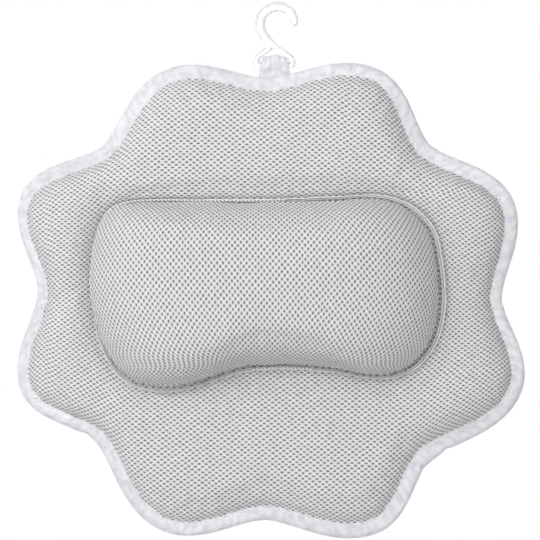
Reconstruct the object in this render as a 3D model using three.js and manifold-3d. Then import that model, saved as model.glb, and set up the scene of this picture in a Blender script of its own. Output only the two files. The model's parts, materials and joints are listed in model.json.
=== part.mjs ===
// Bath pillow: a padded flower-shaped mat of air mesh with a head cushion sewn on its front,
// suction cups behind it, and a plastic hook in a fabric tab above it.
// Millimetres. The front faces -Y, +X is to the right as seen from the front, and +Z is up.
// The origin is the inside of the hook's crown, where the hook sits on a rail.
import * as THREE from "three";
import { mergeVertices } from "three/addons/utils/BufferGeometryUtils.js";
import Module from "manifold-3d";

const wasm = await Module();
wasm.setup();

// Clearances and facet counts
const seatGap = 0.3; // between faces that touch on the real pillow
const overrun = 2; // how far a cutting tool passes the face that it cuts
const padSteps = 96; // facets round the mat
const cushionSteps = 72; // facets round the head cushion
const roundSteps = 16; // facets round an eyelet or a suction cup
const wireSides = 10; // facets round the hook's wire
const crookSteps = 32; // facets along the hook's crook
const legSteps = 14; // facets along each leg of the hook's loop
const weldReach = 1e-4; // vertices nearer than this become one

// Cloths
const meshThickness = 3; // air mesh, relaxed
const pressedThickness = 1.2; // air mesh, squeezed in the edge seam
const tapeThickness = 0.9; // binding tape
const backingThickness = 1; // plain cloth that closes the cushion
const strapThickness = 1.2; // one ply of the hanging tab

// Mat outline: eight lobes, with a notch before each
const lobeRadius = 200; // mat centre to a lobe's crest
const scallopDepth = 27; // how much nearer the notches lie
const lobeFullnessShare = 0.9; // under 1 makes a lobe rounder than a cosine
// Each row: a notch's angle clockwise from the top and its share of the notch radius,
// then the next crest's angle and its share of the crest radius
const lobeShares = [
  [-1, 0.972, 25.5, 0.966],
  [46, 0.978, 68.5, 1.001],
  [90, 1.024, 110.5, 1.026],
  [136, 1.011, 155, 0.991],
  [181.5, 0.987, 205.5, 0.986],
  [230.5, 1.005, 249.5, 1.022],
  [271.5, 1.032, 292.5, 1.033],
  [312.5, 1.003, 334.5, 0.961],
];

// Mat section
const bindingWidth = 11; // seen width of the edge tape, on average
// Each row: an angle clockwise from the top and the tape's share of that width there
const tapeShares = [
  [0, 0.97], [25, 0.88], [46, 1.12], [68, 0.97], [90, 0.87], [110, 0.93], [136, 1.16], [156, 1.06],
  [181, 1.06], [206, 0.9], [230, 0.9], [250, 0.8], [268, 0.82], [284, 0.62], [304, 1], [334, 1.03],
];
const bindingRound = 0.8; // rounding of the tape's folded edge
const frontRise = 13; // the front's crown before the edge plane
const channelRise = 7; // the front along the cushion's seam, where stitching pulls it down
const backRise = 6.5; // the flat back behind the edge plane
const puffReach = 45; // a band of mat this wide puffs up to the full crown
const backSlope = 20; // width over which the back falls to its edge
// Section of the back from its edge to its flat: share of the slope's width, share of its rise
const backShares = [[0, 0], [0.25, 0.75], [1, 1]];
const puffShares = [0.12, 0.5, 0.85]; // rings across the puffed band, from seam to edge
const puffRoundness = 2.4; // exponent of the puffed band's rounded section

// Head cushion
const cushionHalfLength = 135;
const cushionHalfHeight = 73.5;
const cushionRise = 50; // crown before its seam
const cushionShiftX = -5; // cushion centre from mat centre
const cushionShiftZ = 3.4;
const lipWidth = 4; // seam allowance outside the seam
const lipThickness = 1.6;
const lipTuck = 3; // seam allowance under the cover's edge
const channelMargin = 1.5; // flat of the channel beyond the lip
// Seam outline, as shares of the half length and the half height, clockwise from the top
const seamShares = [
  [0.03, 0.974], [0.43, 0.99], [0.63, 1.0], [0.81, 0.9], [0.94, 0.66], [0.99, 0.25],
  [1.0, -0.17], [0.94, -0.56], [0.81, -0.8], [0.64, -0.875], [0.43, -0.815], [0.2, -0.765],
  [-0.03, -0.75], [-0.22, -0.84], [-0.42, -0.965], [-0.6, -1.0], [-0.78, -0.9], [-0.91, -0.58],
  [-0.98, -0.12], [-0.99, 0.3], [-0.94, 0.71], [-0.84, 0.915], [-0.65, 0.965], [-0.31, 0.97],
];
// Crown section: share of the way out from the centre, share of the rise
const crownShares = [
  [0, 1], [0.35, 0.97], [0.62, 0.88], [0.82, 0.7], [0.94, 0.46], [1, 0.22], [0.985, 0],
];

// Hook
const hookBore = 19.5; // widest rail that the hook takes
const hookWidth = 7.5; // moulding, seen from the front
const hookDepth = 5.5; // moulding, front to back
const crookPoints = 13; // points that lay out the crook's arc
const tipDegrees = -8; // the crook runs from here, below the right-hand side,
const crookDegrees = 215; // over the top and round to here, then on into the stem
const loopHalfWidth = 13.9; // wire centres of the triangular loop
const loopWire = 4.4;
const loopShiftX = -2.7; // loop centre from the hook's crown
const loopDrop = 41.3; // crown to the loop's bar
// Centre lines below the crook: share of the half width, share of the rise from the bar to the crook
const stemShares = [[-0.44, 0.836], [-0.2, 0.69]];
const rightLegShares = [[1, 0], [1, 0.12], [0.92, 0.22], [0.6, 0.365], [0.2, 0.53]];
const leftLegShares = [[-1, 0], [-1, 0.12], [-0.92, 0.24], [-0.6, 0.4], [-0.25, 0.56]];

// Hanging tab
const tabHalfWidth = 12.2;
const foldHalfWidth = 10.6; // the same where the tab is drawn together round the bar
const foldDrop = 3.4; // the tab widens from this far below the bar
const flareDrop = 6; // to this far
const tabShiftX = 0.6; // tab centre from the loop's centre
const tabBore = 5.2; // eye that the loop's bar turns in
const tabTail = 10; // tab below the mat's edge, sewn behind the tape
const barHeight = 10.3; // loop's bar above the mat's edge
const matShiftX = -3.3; // mat centre from the tab's centre

// How it hangs
const hangDegrees = 5.6; // the mat's lean on the loop's bar, foot back, that brings its weight below the bar

// Eyelets and suction cups
const panelHoleRadius = 5;
const eyeletBore = 3.5;
const eyeletBarrelRadius = 4.6;
const eyeletFlangeRadius = 8;
const eyeletFlangeThickness = 1;
const eyeletLipRadius = 5.8;
const eyeletLipThickness = 0.6;
const washerThickness = 1;
const pocketClearance = 1.5; // room round a washer in the filling
const cupNeckRadius = 3;
const cupHeadRadius = 5;
const cupHeadThickness = 2.5;
const cupBossRadius = 7;
const cupRadius = 21;
const cupDepth = 14.5; // boss face to rim
const cupRimFlat = 2;
// Outside of the bell from boss to rim, and inside from rim to centre:
// share of the way from boss radius to rim radius, share of the depth
const cupOutsideShares = [[0, 0.16], [0.32, 0.36], [0.76, 0.7]];
const cupInsideShares = [[0.52, 0.72], [0.12, 0.5]];
const cupCrownShare = 0.44; // depth of the bell's inside at its centre
const cupInset = 33; // cup centres from the circle of the mat's notches
const cupDegrees = [-33, 33, -90, 90, -147, 147]; // clockwise from the top

// Finishes
const finish = (color, roughness) =>
  new THREE.MeshStandardMaterial({ color, roughness, metalness: 0 });
const meshCloth = finish(0xcfcfcd, 0.9);
const whiteTape = finish(0xf0f0f5, 0.85);
const plainCloth = finish(0xe6e6e4, 0.9);
const fibre = finish(0xf7f7f5, 1);
const whitePlastic = finish(0xf4f4f6, 0.35);
const clearVinyl = finish(0xdfe6e8, 0.2);

// Sizes worked out from those above
const notchRadius = lobeRadius - scallopDepth;
const crookRadius = (hookBore + hookWidth) / 2;
const crookCentreZ = -hookBore / 2;
const edgeHalfGap = seatGap / 2;
const edgeFace = edgeHalfGap + pressedThickness;
const slotHalfHeight = edgeFace + seatGap;
const bindingHalfThickness = slotHalfHeight + tapeThickness;
const slotInset = tapeThickness + seatGap;
const backInner = backRise - meshThickness;
const channelInner = channelRise - meshThickness;
const backingFace = channelRise + seatGap + backingThickness;
const lipFace = channelRise + seatGap + lipThickness;
const coverFoot = lipFace + seatGap;
const padY = -(bindingHalfThickness + seatGap + strapThickness);
const washerRadius = eyeletFlangeRadius;
const flangeFoot = backRise + seatGap;
const flangeFace = flangeFoot + eyeletFlangeThickness;
const washerBack = backInner - seatGap;
const washerFront = washerBack - washerThickness;
const lipBack = washerFront - seatGap;
const eyeletEnd = lipBack - eyeletLipThickness;
const headBack = eyeletEnd - seatGap;
const headFront = headBack - cupHeadThickness;
const bossFace = flangeFace + seatGap;
const rimY = bossFace + cupDepth;

// The back's slope as [distance inside the hem, share of the rise]
const backSection = backShares.map(([across, up]) => [across * backSlope, up]);

// Rows of [angle, value] that end with the first row again, one turn on
const allRound = (rows) => [...rows, [rows[0][0] + 360, rows[0][1]]];
const padKnots = allRound(
  lobeShares.flatMap(([notchAngle, notchShare, crestAngle, crestShare]) => [
    [notchAngle, notchShare * notchRadius],
    [crestAngle, crestShare * lobeRadius],
  ]),
);
const tapeKnots = allRound(tapeShares);

// Where an angle lies among such rows: the values on both sides of it, and how far along it is
function spanAt(knots, degrees) {
  const start = knots[0][0];
  const angle = start + THREE.MathUtils.euclideanModulo(degrees - start, 360);
  const next = knots.findIndex(([knotAngle]) => knotAngle > angle);
  const [fromAngle, from] = knots[next - 1];
  const [toAngle, to] = knots[next];
  return { from, to, along: (angle - fromAngle) / (toAngle - fromAngle), rising: next % 2 === 1 };
}

const cupPlaces = cupDegrees.map((degrees) => polar(degrees, notchRadius - cupInset).toArray());

// Distance from the mat's centre to its edge, at an angle in degrees clockwise from the top
function padRadius(degrees) {
  const { from, to, along, rising } = spanAt(padKnots, degrees);
  const climb = rising ? along : 1 - along;
  const swell = Math.pow((1 - Math.cos(Math.PI * climb)) / 2, lobeFullnessShare);
  const [notch, crest] = rising ? [from, to] : [to, from];
  return THREE.MathUtils.lerp(notch, crest, swell);
}

// Width of the edge tape at such an angle
function tapeWidth(degrees) {
  const { from, to, along } = spanAt(tapeKnots, degrees);
  return bindingWidth * THREE.MathUtils.lerp(from, to, along);
}

// A point (x, z) at an angle in degrees clockwise from the top
function polar(degrees, radius) {
  const angle = THREE.MathUtils.degToRad(degrees);
  return new THREE.Vector2(Math.sin(angle) * radius, Math.cos(angle) * radius);
}

// The mat's outline moved inwards by a distance for each angle, one point for each facet
function padOutline(insetAt) {
  const step = 360 / padSteps;
  return Array.from({ length: padSteps }, (_, i) => {
    const here = polar(i * step, padRadius(i * step));
    const before = polar((i - 1) * step, padRadius((i - 1) * step));
    const after = polar((i + 1) * step, padRadius((i + 1) * step));
    const along = after.sub(before).normalize();
    return here.add(new THREE.Vector2(along.y, -along.x).multiplyScalar(insetAt(i * step)));
  });
}

const seamCurve = new THREE.CatmullRomCurve3(
  seamShares.map(([x, z]) => new THREE.Vector3(x * cushionHalfLength, 0, z * cushionHalfHeight)),
  true,
  "centripetal",
);

// The cushion's seam as points round centre (x, z), at equal angles clockwise from the top
function seamOutline(centreX, centreZ, steps) {
  const fine = seamCurve.getPoints(seamShares.length * steps);
  const sighted = fine.map((p) => ({
    angle: Math.atan2(p.x - centreX, p.z - centreZ),
    radius: Math.hypot(p.x - centreX, p.z - centreZ),
  }));
  return Array.from({ length: steps }, (_, i) => {
    const angle = (i * 2 * Math.PI) / steps;
    const off = (p) => 1 - Math.cos(p.angle - angle);
    const { radius } = sighted.reduce((best, p) => (off(p) < off(best) ? p : best));
    return new THREE.Vector2(Math.sin(angle) * radius, Math.cos(angle) * radius);
  });
}

// Points moved towards (positive) or away from the outline's own centre
const drawnIn = (outline, inset) => outline.map((p) => p.clone().setLength(p.length() - inset));

// A closed solid between two stacks of rings, each from its centre point out to its rim.
// A ring is { points, y }, where y may differ from point to point.
function ringedSolid(frontRings, backRings) {
  const count = frontRings[0].points.length;
  const positions = [];
  const index = [];
  const addRing = ({ points, y }) => {
    const first = positions.length / 3;
    points.forEach((p, i) => positions.push(p.x, Array.isArray(y) ? y[i] : y, p.y));
    return first;
  };
  const addFace = (a, b, c, forwards) => index.push(...(forwards ? [a, b, c] : [a, c, b]));
  const addSheet = (rings, centreY, forwards) => {
    const centre = positions.length / 3;
    positions.push(0, centreY, 0);
    const starts = rings.map(addRing);
    for (let i = 0; i < count; i++) {
      const j = (i + 1) % count;
      addFace(centre, starts[0] + i, starts[0] + j, !forwards);
      for (let k = 1; k < starts.length; k++) {
        addFace(starts[k - 1] + i, starts[k] + i, starts[k] + j, !forwards);
        addFace(starts[k - 1] + i, starts[k] + j, starts[k - 1] + j, !forwards);
      }
    }
    return starts.at(-1);
  };
  const flatY = ({ y }) => (Array.isArray(y) ? y[0] : y);
  const frontRim = addSheet(frontRings, flatY(frontRings[0]), true);
  const backRim = addSheet(backRings, flatY(backRings[0]), false);
  for (let i = 0; i < count; i++) {
    const j = (i + 1) % count;
    addFace(frontRim + i, backRim + i, backRim + j, false);
    addFace(frontRim + i, backRim + j, frontRim + j, false);
  }
  const geometry = new THREE.BufferGeometry();
  geometry.setAttribute("position", new THREE.Float32BufferAttribute(positions, 3));
  geometry.setIndex(index);
  return geometry;
}

// A flat plate of an (x, z) outline, from y = back forwards by its thickness
function plate(outline, back, thickness, { hole = null, round = 0 } = {}) {
  const shape = new THREE.Shape(outline);
  if (hole) shape.holes.push(new THREE.Path([...hole].reverse()));
  const geometry = new THREE.ExtrudeGeometry(shape, {
    depth: thickness - 2 * round,
    bevelEnabled: round > 0,
    bevelThickness: round,
    bevelSize: round,
    bevelOffset: -round,
    bevelSegments: 1,
  });
  return geometry.rotateX(Math.PI / 2).translate(0, back - round, 0);
}

// A closed profile of (radius, y) points turned about the Y axis
function turned(profile, x = 0, z = 0) {
  const points = profile.map(([radius, y]) => new THREE.Vector2(radius, y));
  return new THREE.LatheGeometry(points, roundSteps).translate(x, 0, z);
}

// A solid drum about the Y axis from y = front to y = back
const drum = (radius, front, back, x, z) =>
  turned([[0, front], [radius, front], [radius, back], [0, back]], x, z);

// Solids for joining and cutting
function solidOf(geometry) {
  const bare = geometry.clone();
  bare.deleteAttribute("normal");
  bare.deleteAttribute("uv");
  const merged = mergeVertices(bare, weldReach);
  return new wasm.Manifold(
    new wasm.Mesh({
      numProp: 3,
      vertProperties: new Float32Array(merged.attributes.position.array),
      triVerts: new Uint32Array(merged.index.array),
    }),
  );
}

function geometryOf(solid) {
  const { numProp, vertProperties, triVerts } = solid.getMesh();
  const count = vertProperties.length / numProp;
  const positions = Array.from({ length: count }, (_, i) => [
    ...vertProperties.subarray(i * numProp, i * numProp + 3),
  ]).flat();
  const geometry = new THREE.BufferGeometry();
  geometry.setAttribute("position", new THREE.Float32BufferAttribute(positions, 3));
  geometry.setIndex([...triVerts]);
  return geometry;
}

const joined = (...shapes) => geometryOf(shapes.map(solidOf).reduce((sum, s) => sum.add(s)));
const cut = (shape, ...tools) =>
  geometryOf(tools.map(solidOf).reduce((left, tool) => left.subtract(tool), solidOf(shape)));

function piece(parent, name, geometry, material) {
  geometry.computeVertexNormals();
  const mesh = new THREE.Mesh(geometry, material);
  mesh.name = name;
  parent.add(mesh);
}

// Mat: rings that the front panel, the filling and the back panel share
const seamFromPad = seamOutline(-cushionShiftX, -cushionShiftZ, padSteps);
const channelEdge = drawnIn(seamFromPad, -(lipWidth + channelMargin));
const hem = padOutline((degrees) => tapeWidth(degrees) + seatGap);
const slotEdge = padOutline(() => slotInset);
const between = (from, to, share) => from.map((p, i) => p.clone().lerp(to[i], share));

// How far the front stands before the edge plane across the puffed band, from channel to hem
function puffHeights(share) {
  const roundness = Math.pow(1 - Math.pow(Math.abs(2 * share - 1), puffRoundness), 1 / puffRoundness);
  return channelEdge.map((p, i) => {
    const fullness = Math.min(1, Math.sqrt(p.distanceTo(hem[i]) / puffReach));
    const level = THREE.MathUtils.lerp(channelRise, edgeFace, share);
    return level + (frontRise * fullness - level) * roundness;
  });
}

const puffRings = puffShares.map((share) => ({
  points: between(channelEdge, hem, share),
  heights: puffHeights(share),
}));

function frontPanel() {
  const face = (lift, channel, edge) => [
    { points: channelEdge, y: -channel },
    ...puffRings.map(({ points, heights }) => ({ points, y: heights.map((h) => lift - h) })),
    { points: hem, y: -edge },
    { points: slotEdge, y: -edge },
  ];
  return ringedSolid(face(0, channelRise, edgeFace), face(meshThickness, channelInner, edgeHalfGap));
}

// How far a surface of the back stands behind the edge plane, at a distance inside the hem
function backLevel(inside, edge, flat) {
  const next = backSection.findIndex(([reach]) => reach > inside);
  if (next === 0) return edge;
  if (next < 0) return flat;
  const [fromReach, fromShare] = backSection[next - 1];
  const [toReach, toShare] = backSection[next];
  const share = THREE.MathUtils.mapLinear(inside, fromReach, toReach, fromShare, toShare);
  return THREE.MathUtils.lerp(edge, flat, share);
}

function backPanel() {
  const sheet = (edge, flat) => {
    const slope = backSection.map(([reach, share]) => ({
      points: drawnIn(hem, reach),
      y: THREE.MathUtils.lerp(edge, flat, share),
    }));
    return [...slope.reverse(), { points: slotEdge, y: edge }];
  };
  const panel = ringedSolid(sheet(edgeHalfGap, backInner), sheet(edgeFace, backRise));
  const holes = cupPlaces.map(([x, z]) => drum(panelHoleRadius, -overrun, backRise + overrun, x, z));
  return cut(panel, ...holes);
}

function matFilling() {
  const back = backInner - seatGap;
  const faces = [
    { points: channelEdge, y: seatGap - channelInner },
    ...puffRings.map(({ points, heights }) => ({
      points,
      y: heights.map((h) => meshThickness + seatGap - h),
    })),
  ];
  const backs = faces.map(({ points }) => ({
    points,
    y: points.map((p, i) => backLevel(hem[i].length() - p.length(), edgeHalfGap, backInner) - seatGap),
  }));
  const pocketRadius = washerRadius + pocketClearance;
  const floor = headFront - seatGap;
  const pockets = cupPlaces.map(([x, z]) => drum(pocketRadius, floor, back + overrun, x, z));
  return cut(ringedSolid(faces, backs), ...pockets);
}

function edgeBinding() {
  const past = bindingHalfThickness + overrun;
  const edge = padOutline(() => 0);
  const whole = plate(edge, bindingHalfThickness, 2 * bindingHalfThickness, { round: bindingRound });
  const slot = plate(padOutline(() => tapeThickness), slotHalfHeight, 2 * slotHalfHeight);
  const inside = plate(padOutline(tapeWidth), past, 2 * past);
  return cut(whole, slot, inside);
}

// Head cushion, in its own group about its centre
const seam = seamOutline(0, 0, cushionSteps);

function crownRings(outline, rise, foot) {
  return crownShares.slice(1).map(([out, up]) => ({
    points: outline.map((p) => p.clone().multiplyScalar(out)),
    y: -(foot + up * rise),
  }));
}

function cushionCover() {
  const outer = crownRings(seam, cushionRise, coverFoot);
  const inner = crownRings(drawnIn(seam, meshThickness), cushionRise - meshThickness, coverFoot);
  return ringedSolid(outer, inner);
}

function cushionFilling() {
  const inset = meshThickness + seatGap;
  const foot = backingFace + seatGap;
  const faces = crownRings(drawnIn(seam, inset), coverFoot + cushionRise - inset - foot, foot);
  const base = [{ points: faces.at(-1).points, y: -foot }];
  return ringedSolid(faces, base);
}

function seamLip() {
  const hole = drawnIn(seam, lipTuck);
  return plate(drawnIn(seam, -lipWidth), -(channelRise + seatGap), lipThickness, { hole });
}

function cushionBacking() {
  return plate(drawnIn(seam, lipTuck + seatGap), -(channelRise + seatGap), backingThickness);
}

// Hook: a crook on a triangular loop
function ovalSection(width, depth) {
  const shape = new THREE.Shape();
  shape.absellipse(0, 0, depth / 2, width / 2, 0, 2 * Math.PI);
  return shape;
}

function wireAlong(points, width, depth, steps) {
  return new THREE.ExtrudeGeometry(ovalSection(width, depth), {
    extrudePath: new THREE.CatmullRomCurve3(points, false, "centripetal"),
    steps,
    curveSegments: wireSides / 2,
  });
}

function crookPoint(degrees) {
  const angle = THREE.MathUtils.degToRad(degrees);
  return new THREE.Vector3(
    crookRadius * Math.cos(angle),
    0,
    crookCentreZ + crookRadius * Math.sin(angle),
  );
}

function hook() {
  const arc = Array.from({ length: crookPoints }, (_, i) =>
    crookPoint(THREE.MathUtils.lerp(tipDegrees, crookDegrees, i / (crookPoints - 1))),
  );
  const rise = loopDrop + arc.at(-1).z;
  const loopPoint = ([x, z]) =>
    new THREE.Vector3(loopShiftX + x * loopHalfWidth, 0, z * rise - loopDrop);
  const crook = [...arc, ...stemShares.map(loopPoint)];
  const neck = crook.at(-1);
  const rightLeg = [...rightLegShares.map(loopPoint), neck];
  const leftLeg = [...leftLegShares.map(loopPoint), neck];
  const ball = (centre, width, depth) =>
    new THREE.SphereGeometry(1, wireSides, wireSides / 2)
      .scale(width / 2, depth / 2, width / 2)
      .translate(centre.x, centre.y, centre.z);
  const bar = new THREE.CylinderGeometry(loopWire / 2, loopWire / 2, 2 * loopHalfWidth, wireSides)
    .rotateZ(Math.PI / 2)
    .translate(loopShiftX, 0, -loopDrop);
  return joined(
    wireAlong(crook, hookWidth, hookDepth, crookSteps),
    ball(crook[0], hookWidth, hookDepth),
    ball(neck, hookWidth, hookDepth),
    wireAlong(rightLeg, loopWire, loopWire, legSteps),
    wireAlong(leftLeg, loopWire, loopWire, legSteps),
    bar,
    ball(rightLeg[0], loopWire, loopWire),
    ball(leftLeg[0], loopWire, loopWire),
  );
}

// Tab: one strap folded round the loop's bar, both plies sewn together below it and flared.
// Its section is drawn as (y, z) with the bar's centre at (0, 0), and runs along X.
function hangingTab() {
  const foldRadius = tabBore / 2 + strapThickness;
  const shoulder = Math.acos(strapThickness / foldRadius);
  const shape = new THREE.Shape();
  shape.absarc(0, 0, foldRadius, -shoulder, Math.PI + shoulder, false);
  shape.lineTo(-strapThickness, -(barHeight + tabTail));
  shape.lineTo(strapThickness, -(barHeight + tabTail));
  const eye = new THREE.Path().absarc(0, 0, tabBore / 2, 0, 2 * Math.PI, true);
  shape.holes.push(eye);
  const strap = new THREE.ExtrudeGeometry(shape, {
    depth: 2 * tabHalfWidth,
    bevelEnabled: false,
    curveSegments: roundSteps,
  });
  // The section's x becomes Y and its y becomes Z
  const turn = new THREE.Matrix4().makeBasis(
    new THREE.Vector3(0, 1, 0),
    new THREE.Vector3(0, 0, 1),
    new THREE.Vector3(1, 0, 0),
  );
  strap.applyMatrix4(turn).translate(-tabHalfWidth, 0, 0);
  const reach = foldRadius + overrun;
  const front = plate(tabFront(reach), reach, 2 * reach);
  return geometryOf(solidOf(strap).intersect(solidOf(front)));
}

// The tab seen from the front: drawn together round the bar, and flared below it
function tabFront(top) {
  const right = [
    [foldHalfWidth, top],
    [foldHalfWidth, -foldDrop],
    [tabHalfWidth, -flareDrop],
    [tabHalfWidth, -(barHeight + tabTail + overrun)],
  ];
  const left = right.map(([x, z]) => [-x, z]).reverse();
  return [...right, ...left].map(([x, z]) => new THREE.Vector2(x, z));
}

function eyelet(x, z) {
  return turned(
    [
      [eyeletBore, eyeletEnd],
      [eyeletLipRadius, eyeletEnd],
      [eyeletLipRadius, lipBack],
      [eyeletBarrelRadius, lipBack],
      [eyeletBarrelRadius, flangeFoot],
      [eyeletFlangeRadius, flangeFoot],
      [eyeletFlangeRadius, flangeFace],
      [eyeletBore, flangeFace],
      [eyeletBore, eyeletEnd],
    ],
    x,
    z,
  );
}

function washer(x, z) {
  const bore = eyeletBarrelRadius + seatGap;
  return turned(
    [
      [bore, washerFront],
      [washerRadius, washerFront],
      [washerRadius, washerBack],
      [bore, washerBack],
      [bore, washerFront],
    ],
    x,
    z,
  );
}

function suctionCup(x, z) {
  const bell = ([out, down]) => [
    THREE.MathUtils.lerp(cupBossRadius, cupRadius, out),
    bossFace + down * cupDepth,
  ];
  return turned(
    [
      [0, headFront],
      [cupHeadRadius - cupHeadThickness / 3, headFront],
      [cupHeadRadius, headFront + cupHeadThickness / 2],
      [cupHeadRadius, headBack],
      [cupNeckRadius, headBack],
      [cupNeckRadius, bossFace],
      [cupBossRadius, bossFace],
      ...cupOutsideShares.map(bell),
      [cupRadius, rimY],
      [cupRadius - cupRimFlat, rimY],
      ...cupInsideShares.map(bell),
      [0, bossFace + cupCrownShare * cupDepth],
    ],
    x,
    z,
  );
}

// Assembly
const pillow = new THREE.Group();
piece(pillow, "hook", hook(), whitePlastic);

// What hangs on the loop's bar, in a group about the bar
const hanging = new THREE.Group();
hanging.position.set(loopShiftX, 0, -loopDrop);
hanging.rotation.x = THREE.MathUtils.degToRad(hangDegrees);
pillow.add(hanging);

const tab = new THREE.Group();
tab.position.x = tabShiftX;
piece(tab, "hanging_tab", hangingTab(), whiteTape);

const pad = new THREE.Group();
const topEdge = padRadius(0);
pad.position.set(tabShiftX + matShiftX, padY, -(barHeight + topEdge));
piece(pad, "edge_binding", edgeBinding(), whiteTape);
piece(pad, "base_front_panel", frontPanel(), meshCloth);
piece(pad, "base_filling", matFilling(), fibre);
piece(pad, "base_back_panel", backPanel(), meshCloth);

const cushion = new THREE.Group();
cushion.position.set(cushionShiftX, 0, cushionShiftZ);
piece(cushion, "cushion_cover", cushionCover(), meshCloth);
piece(cushion, "cushion_filling", cushionFilling(), fibre);
piece(cushion, "cushion_backing", cushionBacking(), plainCloth);
piece(cushion, "cushion_seam_lip", seamLip(), plainCloth);
pad.add(cushion);

cupPlaces.forEach(([x, z], i) => {
  piece(pad, `eyelet_${i + 1}`, eyelet(x, z), whitePlastic);
  piece(pad, `eyelet_washer_${i + 1}`, washer(x, z), whitePlastic);
  piece(pad, `suction_cup_${i + 1}`, suctionCup(x, z), clearVinyl);
});
hanging.add(tab, pad);

export default pillow;
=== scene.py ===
"""Looks of a bath pillow: a flower-shaped mat of air mesh with a head cushion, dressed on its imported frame.

The mat is modelled upright, with its edge in the vertical plane of the hook, and each finished piece of it
is then leaned about the hook's bar by the angle that the frame holds.
"""
import json
import logging
import math
from contextlib import contextmanager
from dataclasses import dataclass, field
from enum import Enum
from functools import partial
from typing import Any, Callable, Iterator, Sequence

import bmesh
import bpy
import numpy as np
from mathutils import Matrix, Vector
from mathutils.bvhtree import BVHTree

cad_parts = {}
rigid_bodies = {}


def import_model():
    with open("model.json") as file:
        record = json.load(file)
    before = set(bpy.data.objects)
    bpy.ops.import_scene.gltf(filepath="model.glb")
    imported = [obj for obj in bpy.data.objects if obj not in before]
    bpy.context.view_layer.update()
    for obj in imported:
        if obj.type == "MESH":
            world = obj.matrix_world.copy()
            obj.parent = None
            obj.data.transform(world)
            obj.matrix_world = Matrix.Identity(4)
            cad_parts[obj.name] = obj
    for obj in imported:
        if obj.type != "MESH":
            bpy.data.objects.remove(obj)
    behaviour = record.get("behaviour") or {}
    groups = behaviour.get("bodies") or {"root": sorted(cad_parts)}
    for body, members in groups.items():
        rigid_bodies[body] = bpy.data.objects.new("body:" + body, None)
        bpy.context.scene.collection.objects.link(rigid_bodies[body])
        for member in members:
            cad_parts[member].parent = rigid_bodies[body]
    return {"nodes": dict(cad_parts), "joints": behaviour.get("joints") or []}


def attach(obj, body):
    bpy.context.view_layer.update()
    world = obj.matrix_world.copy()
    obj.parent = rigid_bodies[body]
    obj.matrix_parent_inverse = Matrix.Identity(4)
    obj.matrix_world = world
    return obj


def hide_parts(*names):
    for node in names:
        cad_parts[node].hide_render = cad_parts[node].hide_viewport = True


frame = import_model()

logging.basicConfig(level=logging.INFO, format="%(message)s")
log = logging.getLogger("bath_pillow")

MM = 0.001
# Closer than this, two places are the same
TINY = 1e-6
# Frames that a cloth is blown out for, and the most that a point of it may sink
CLOTH_FRAMES = 24
MOST_SUNK = 0.3 * MM
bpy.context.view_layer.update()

Adder = Callable[..., bpy.types.Node]


class Side(Enum):
    """Which way a sheet's outer face looks."""

    FRONT = -1
    BACK = 1


# Small tools


def linear(code: str) -> tuple[float, float, float, float]:
    """Turns an sRGB hex colour to linear.

    Args:
        code: six hex digits.
    Returns:
        Linear red, green, blue and an alpha of 1.
    """
    shares = [int(code[i : i + 2], 16) / 255 for i in (0, 2, 4)]
    red, green, blue = (s / 12.92 if s <= 0.04045 else ((s + 0.055) / 1.055) ** 2.4 for s in shares)
    return red, green, blue, 1.0


def add_node(
    tree: bpy.types.NodeTree, kind: str, sockets: dict[Any, Any] | None = None, **settings: Any
) -> bpy.types.Node:
    """Adds a shader node, sets it up and links it.

    Args:
        tree: the node tree that takes it.
        kind: the node type's name after ShaderNode.
        sockets: for each input, by name or number, a value, an output or a node whose first output it takes.
        settings: attributes of the node.
    Returns:
        The node.
    """
    node = tree.nodes.new("ShaderNode" + kind)
    for name, value in settings.items():
        setattr(node, name, value)
    for key, value in (sockets or {}).items():
        if isinstance(value, bpy.types.Node):
            value = value.outputs[0]
        if isinstance(value, bpy.types.NodeSocket):
            tree.links.new(value, node.inputs[key])
        else:
            node.inputs[key].default_value = value
    return node


def emptied(owner: bpy.types.Material | bpy.types.World) -> Adder:
    """Clears a material or world of its nodes.

    Args:
        owner: the material or world.
    Returns:
        add_node for its tree.
    """
    owner.use_nodes = True
    owner.node_tree.nodes.clear()
    return partial(add_node, owner.node_tree)


def activate(*objects: bpy.types.Object) -> None:
    """Deselects everything, then selects some objects and makes the first one active.

    Args:
        objects: what to select.
    """
    for other in bpy.context.scene.objects:
        other.select_set(False)
    for obj in objects:
        obj.select_set(True)
    bpy.context.view_layer.objects.active = objects[0]


def apply_modifier(obj: bpy.types.Object, kind: str, **settings: Any) -> None:
    """Adds a modifier to an object and applies it.

    Args:
        obj: the object.
        kind: Blender's name of the modifier type.
        settings: the modifier's settings.
    """
    activate(obj)
    modifier = obj.modifiers.new(kind.title(), kind)
    for name, value in settings.items():
        setattr(modifier, name, value)
    bpy.ops.object.modifier_apply(modifier=modifier.name)


def subdivide(obj: bpy.types.Object) -> None:
    """Applies one level of subdivision surface."""
    apply_modifier(obj, "SUBSURF", levels=1, render_levels=1)


def smooth(obj: bpy.types.Object, degrees: float | None = None) -> None:
    """Shades an object smooth.

    Args:
        obj: the object.
        degrees: where given, edges that turn by more than this stay sharp.
    """
    activate(obj)
    if degrees is None:
        bpy.ops.object.shade_smooth()
    else:
        bpy.ops.object.shade_smooth_by_angle(angle=math.radians(degrees))


def cap_openings() -> None:
    """Closes the openings of the mesh that is in edit mode with one face each."""
    bpy.ops.mesh.select_all(action="SELECT")
    bpy.ops.mesh.region_to_loop()
    bpy.ops.mesh.edge_face_add()


def linked(name: str, data: bpy.types.ID) -> bpy.types.Object:
    """Puts a mesh, camera or lamp into the scene.

    Args:
        name: the new object's name.
        data: what it holds.
    Returns:
        The object.
    """
    obj = bpy.data.objects.new(name, data)
    bpy.context.scene.collection.objects.link(obj)
    return obj


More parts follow.
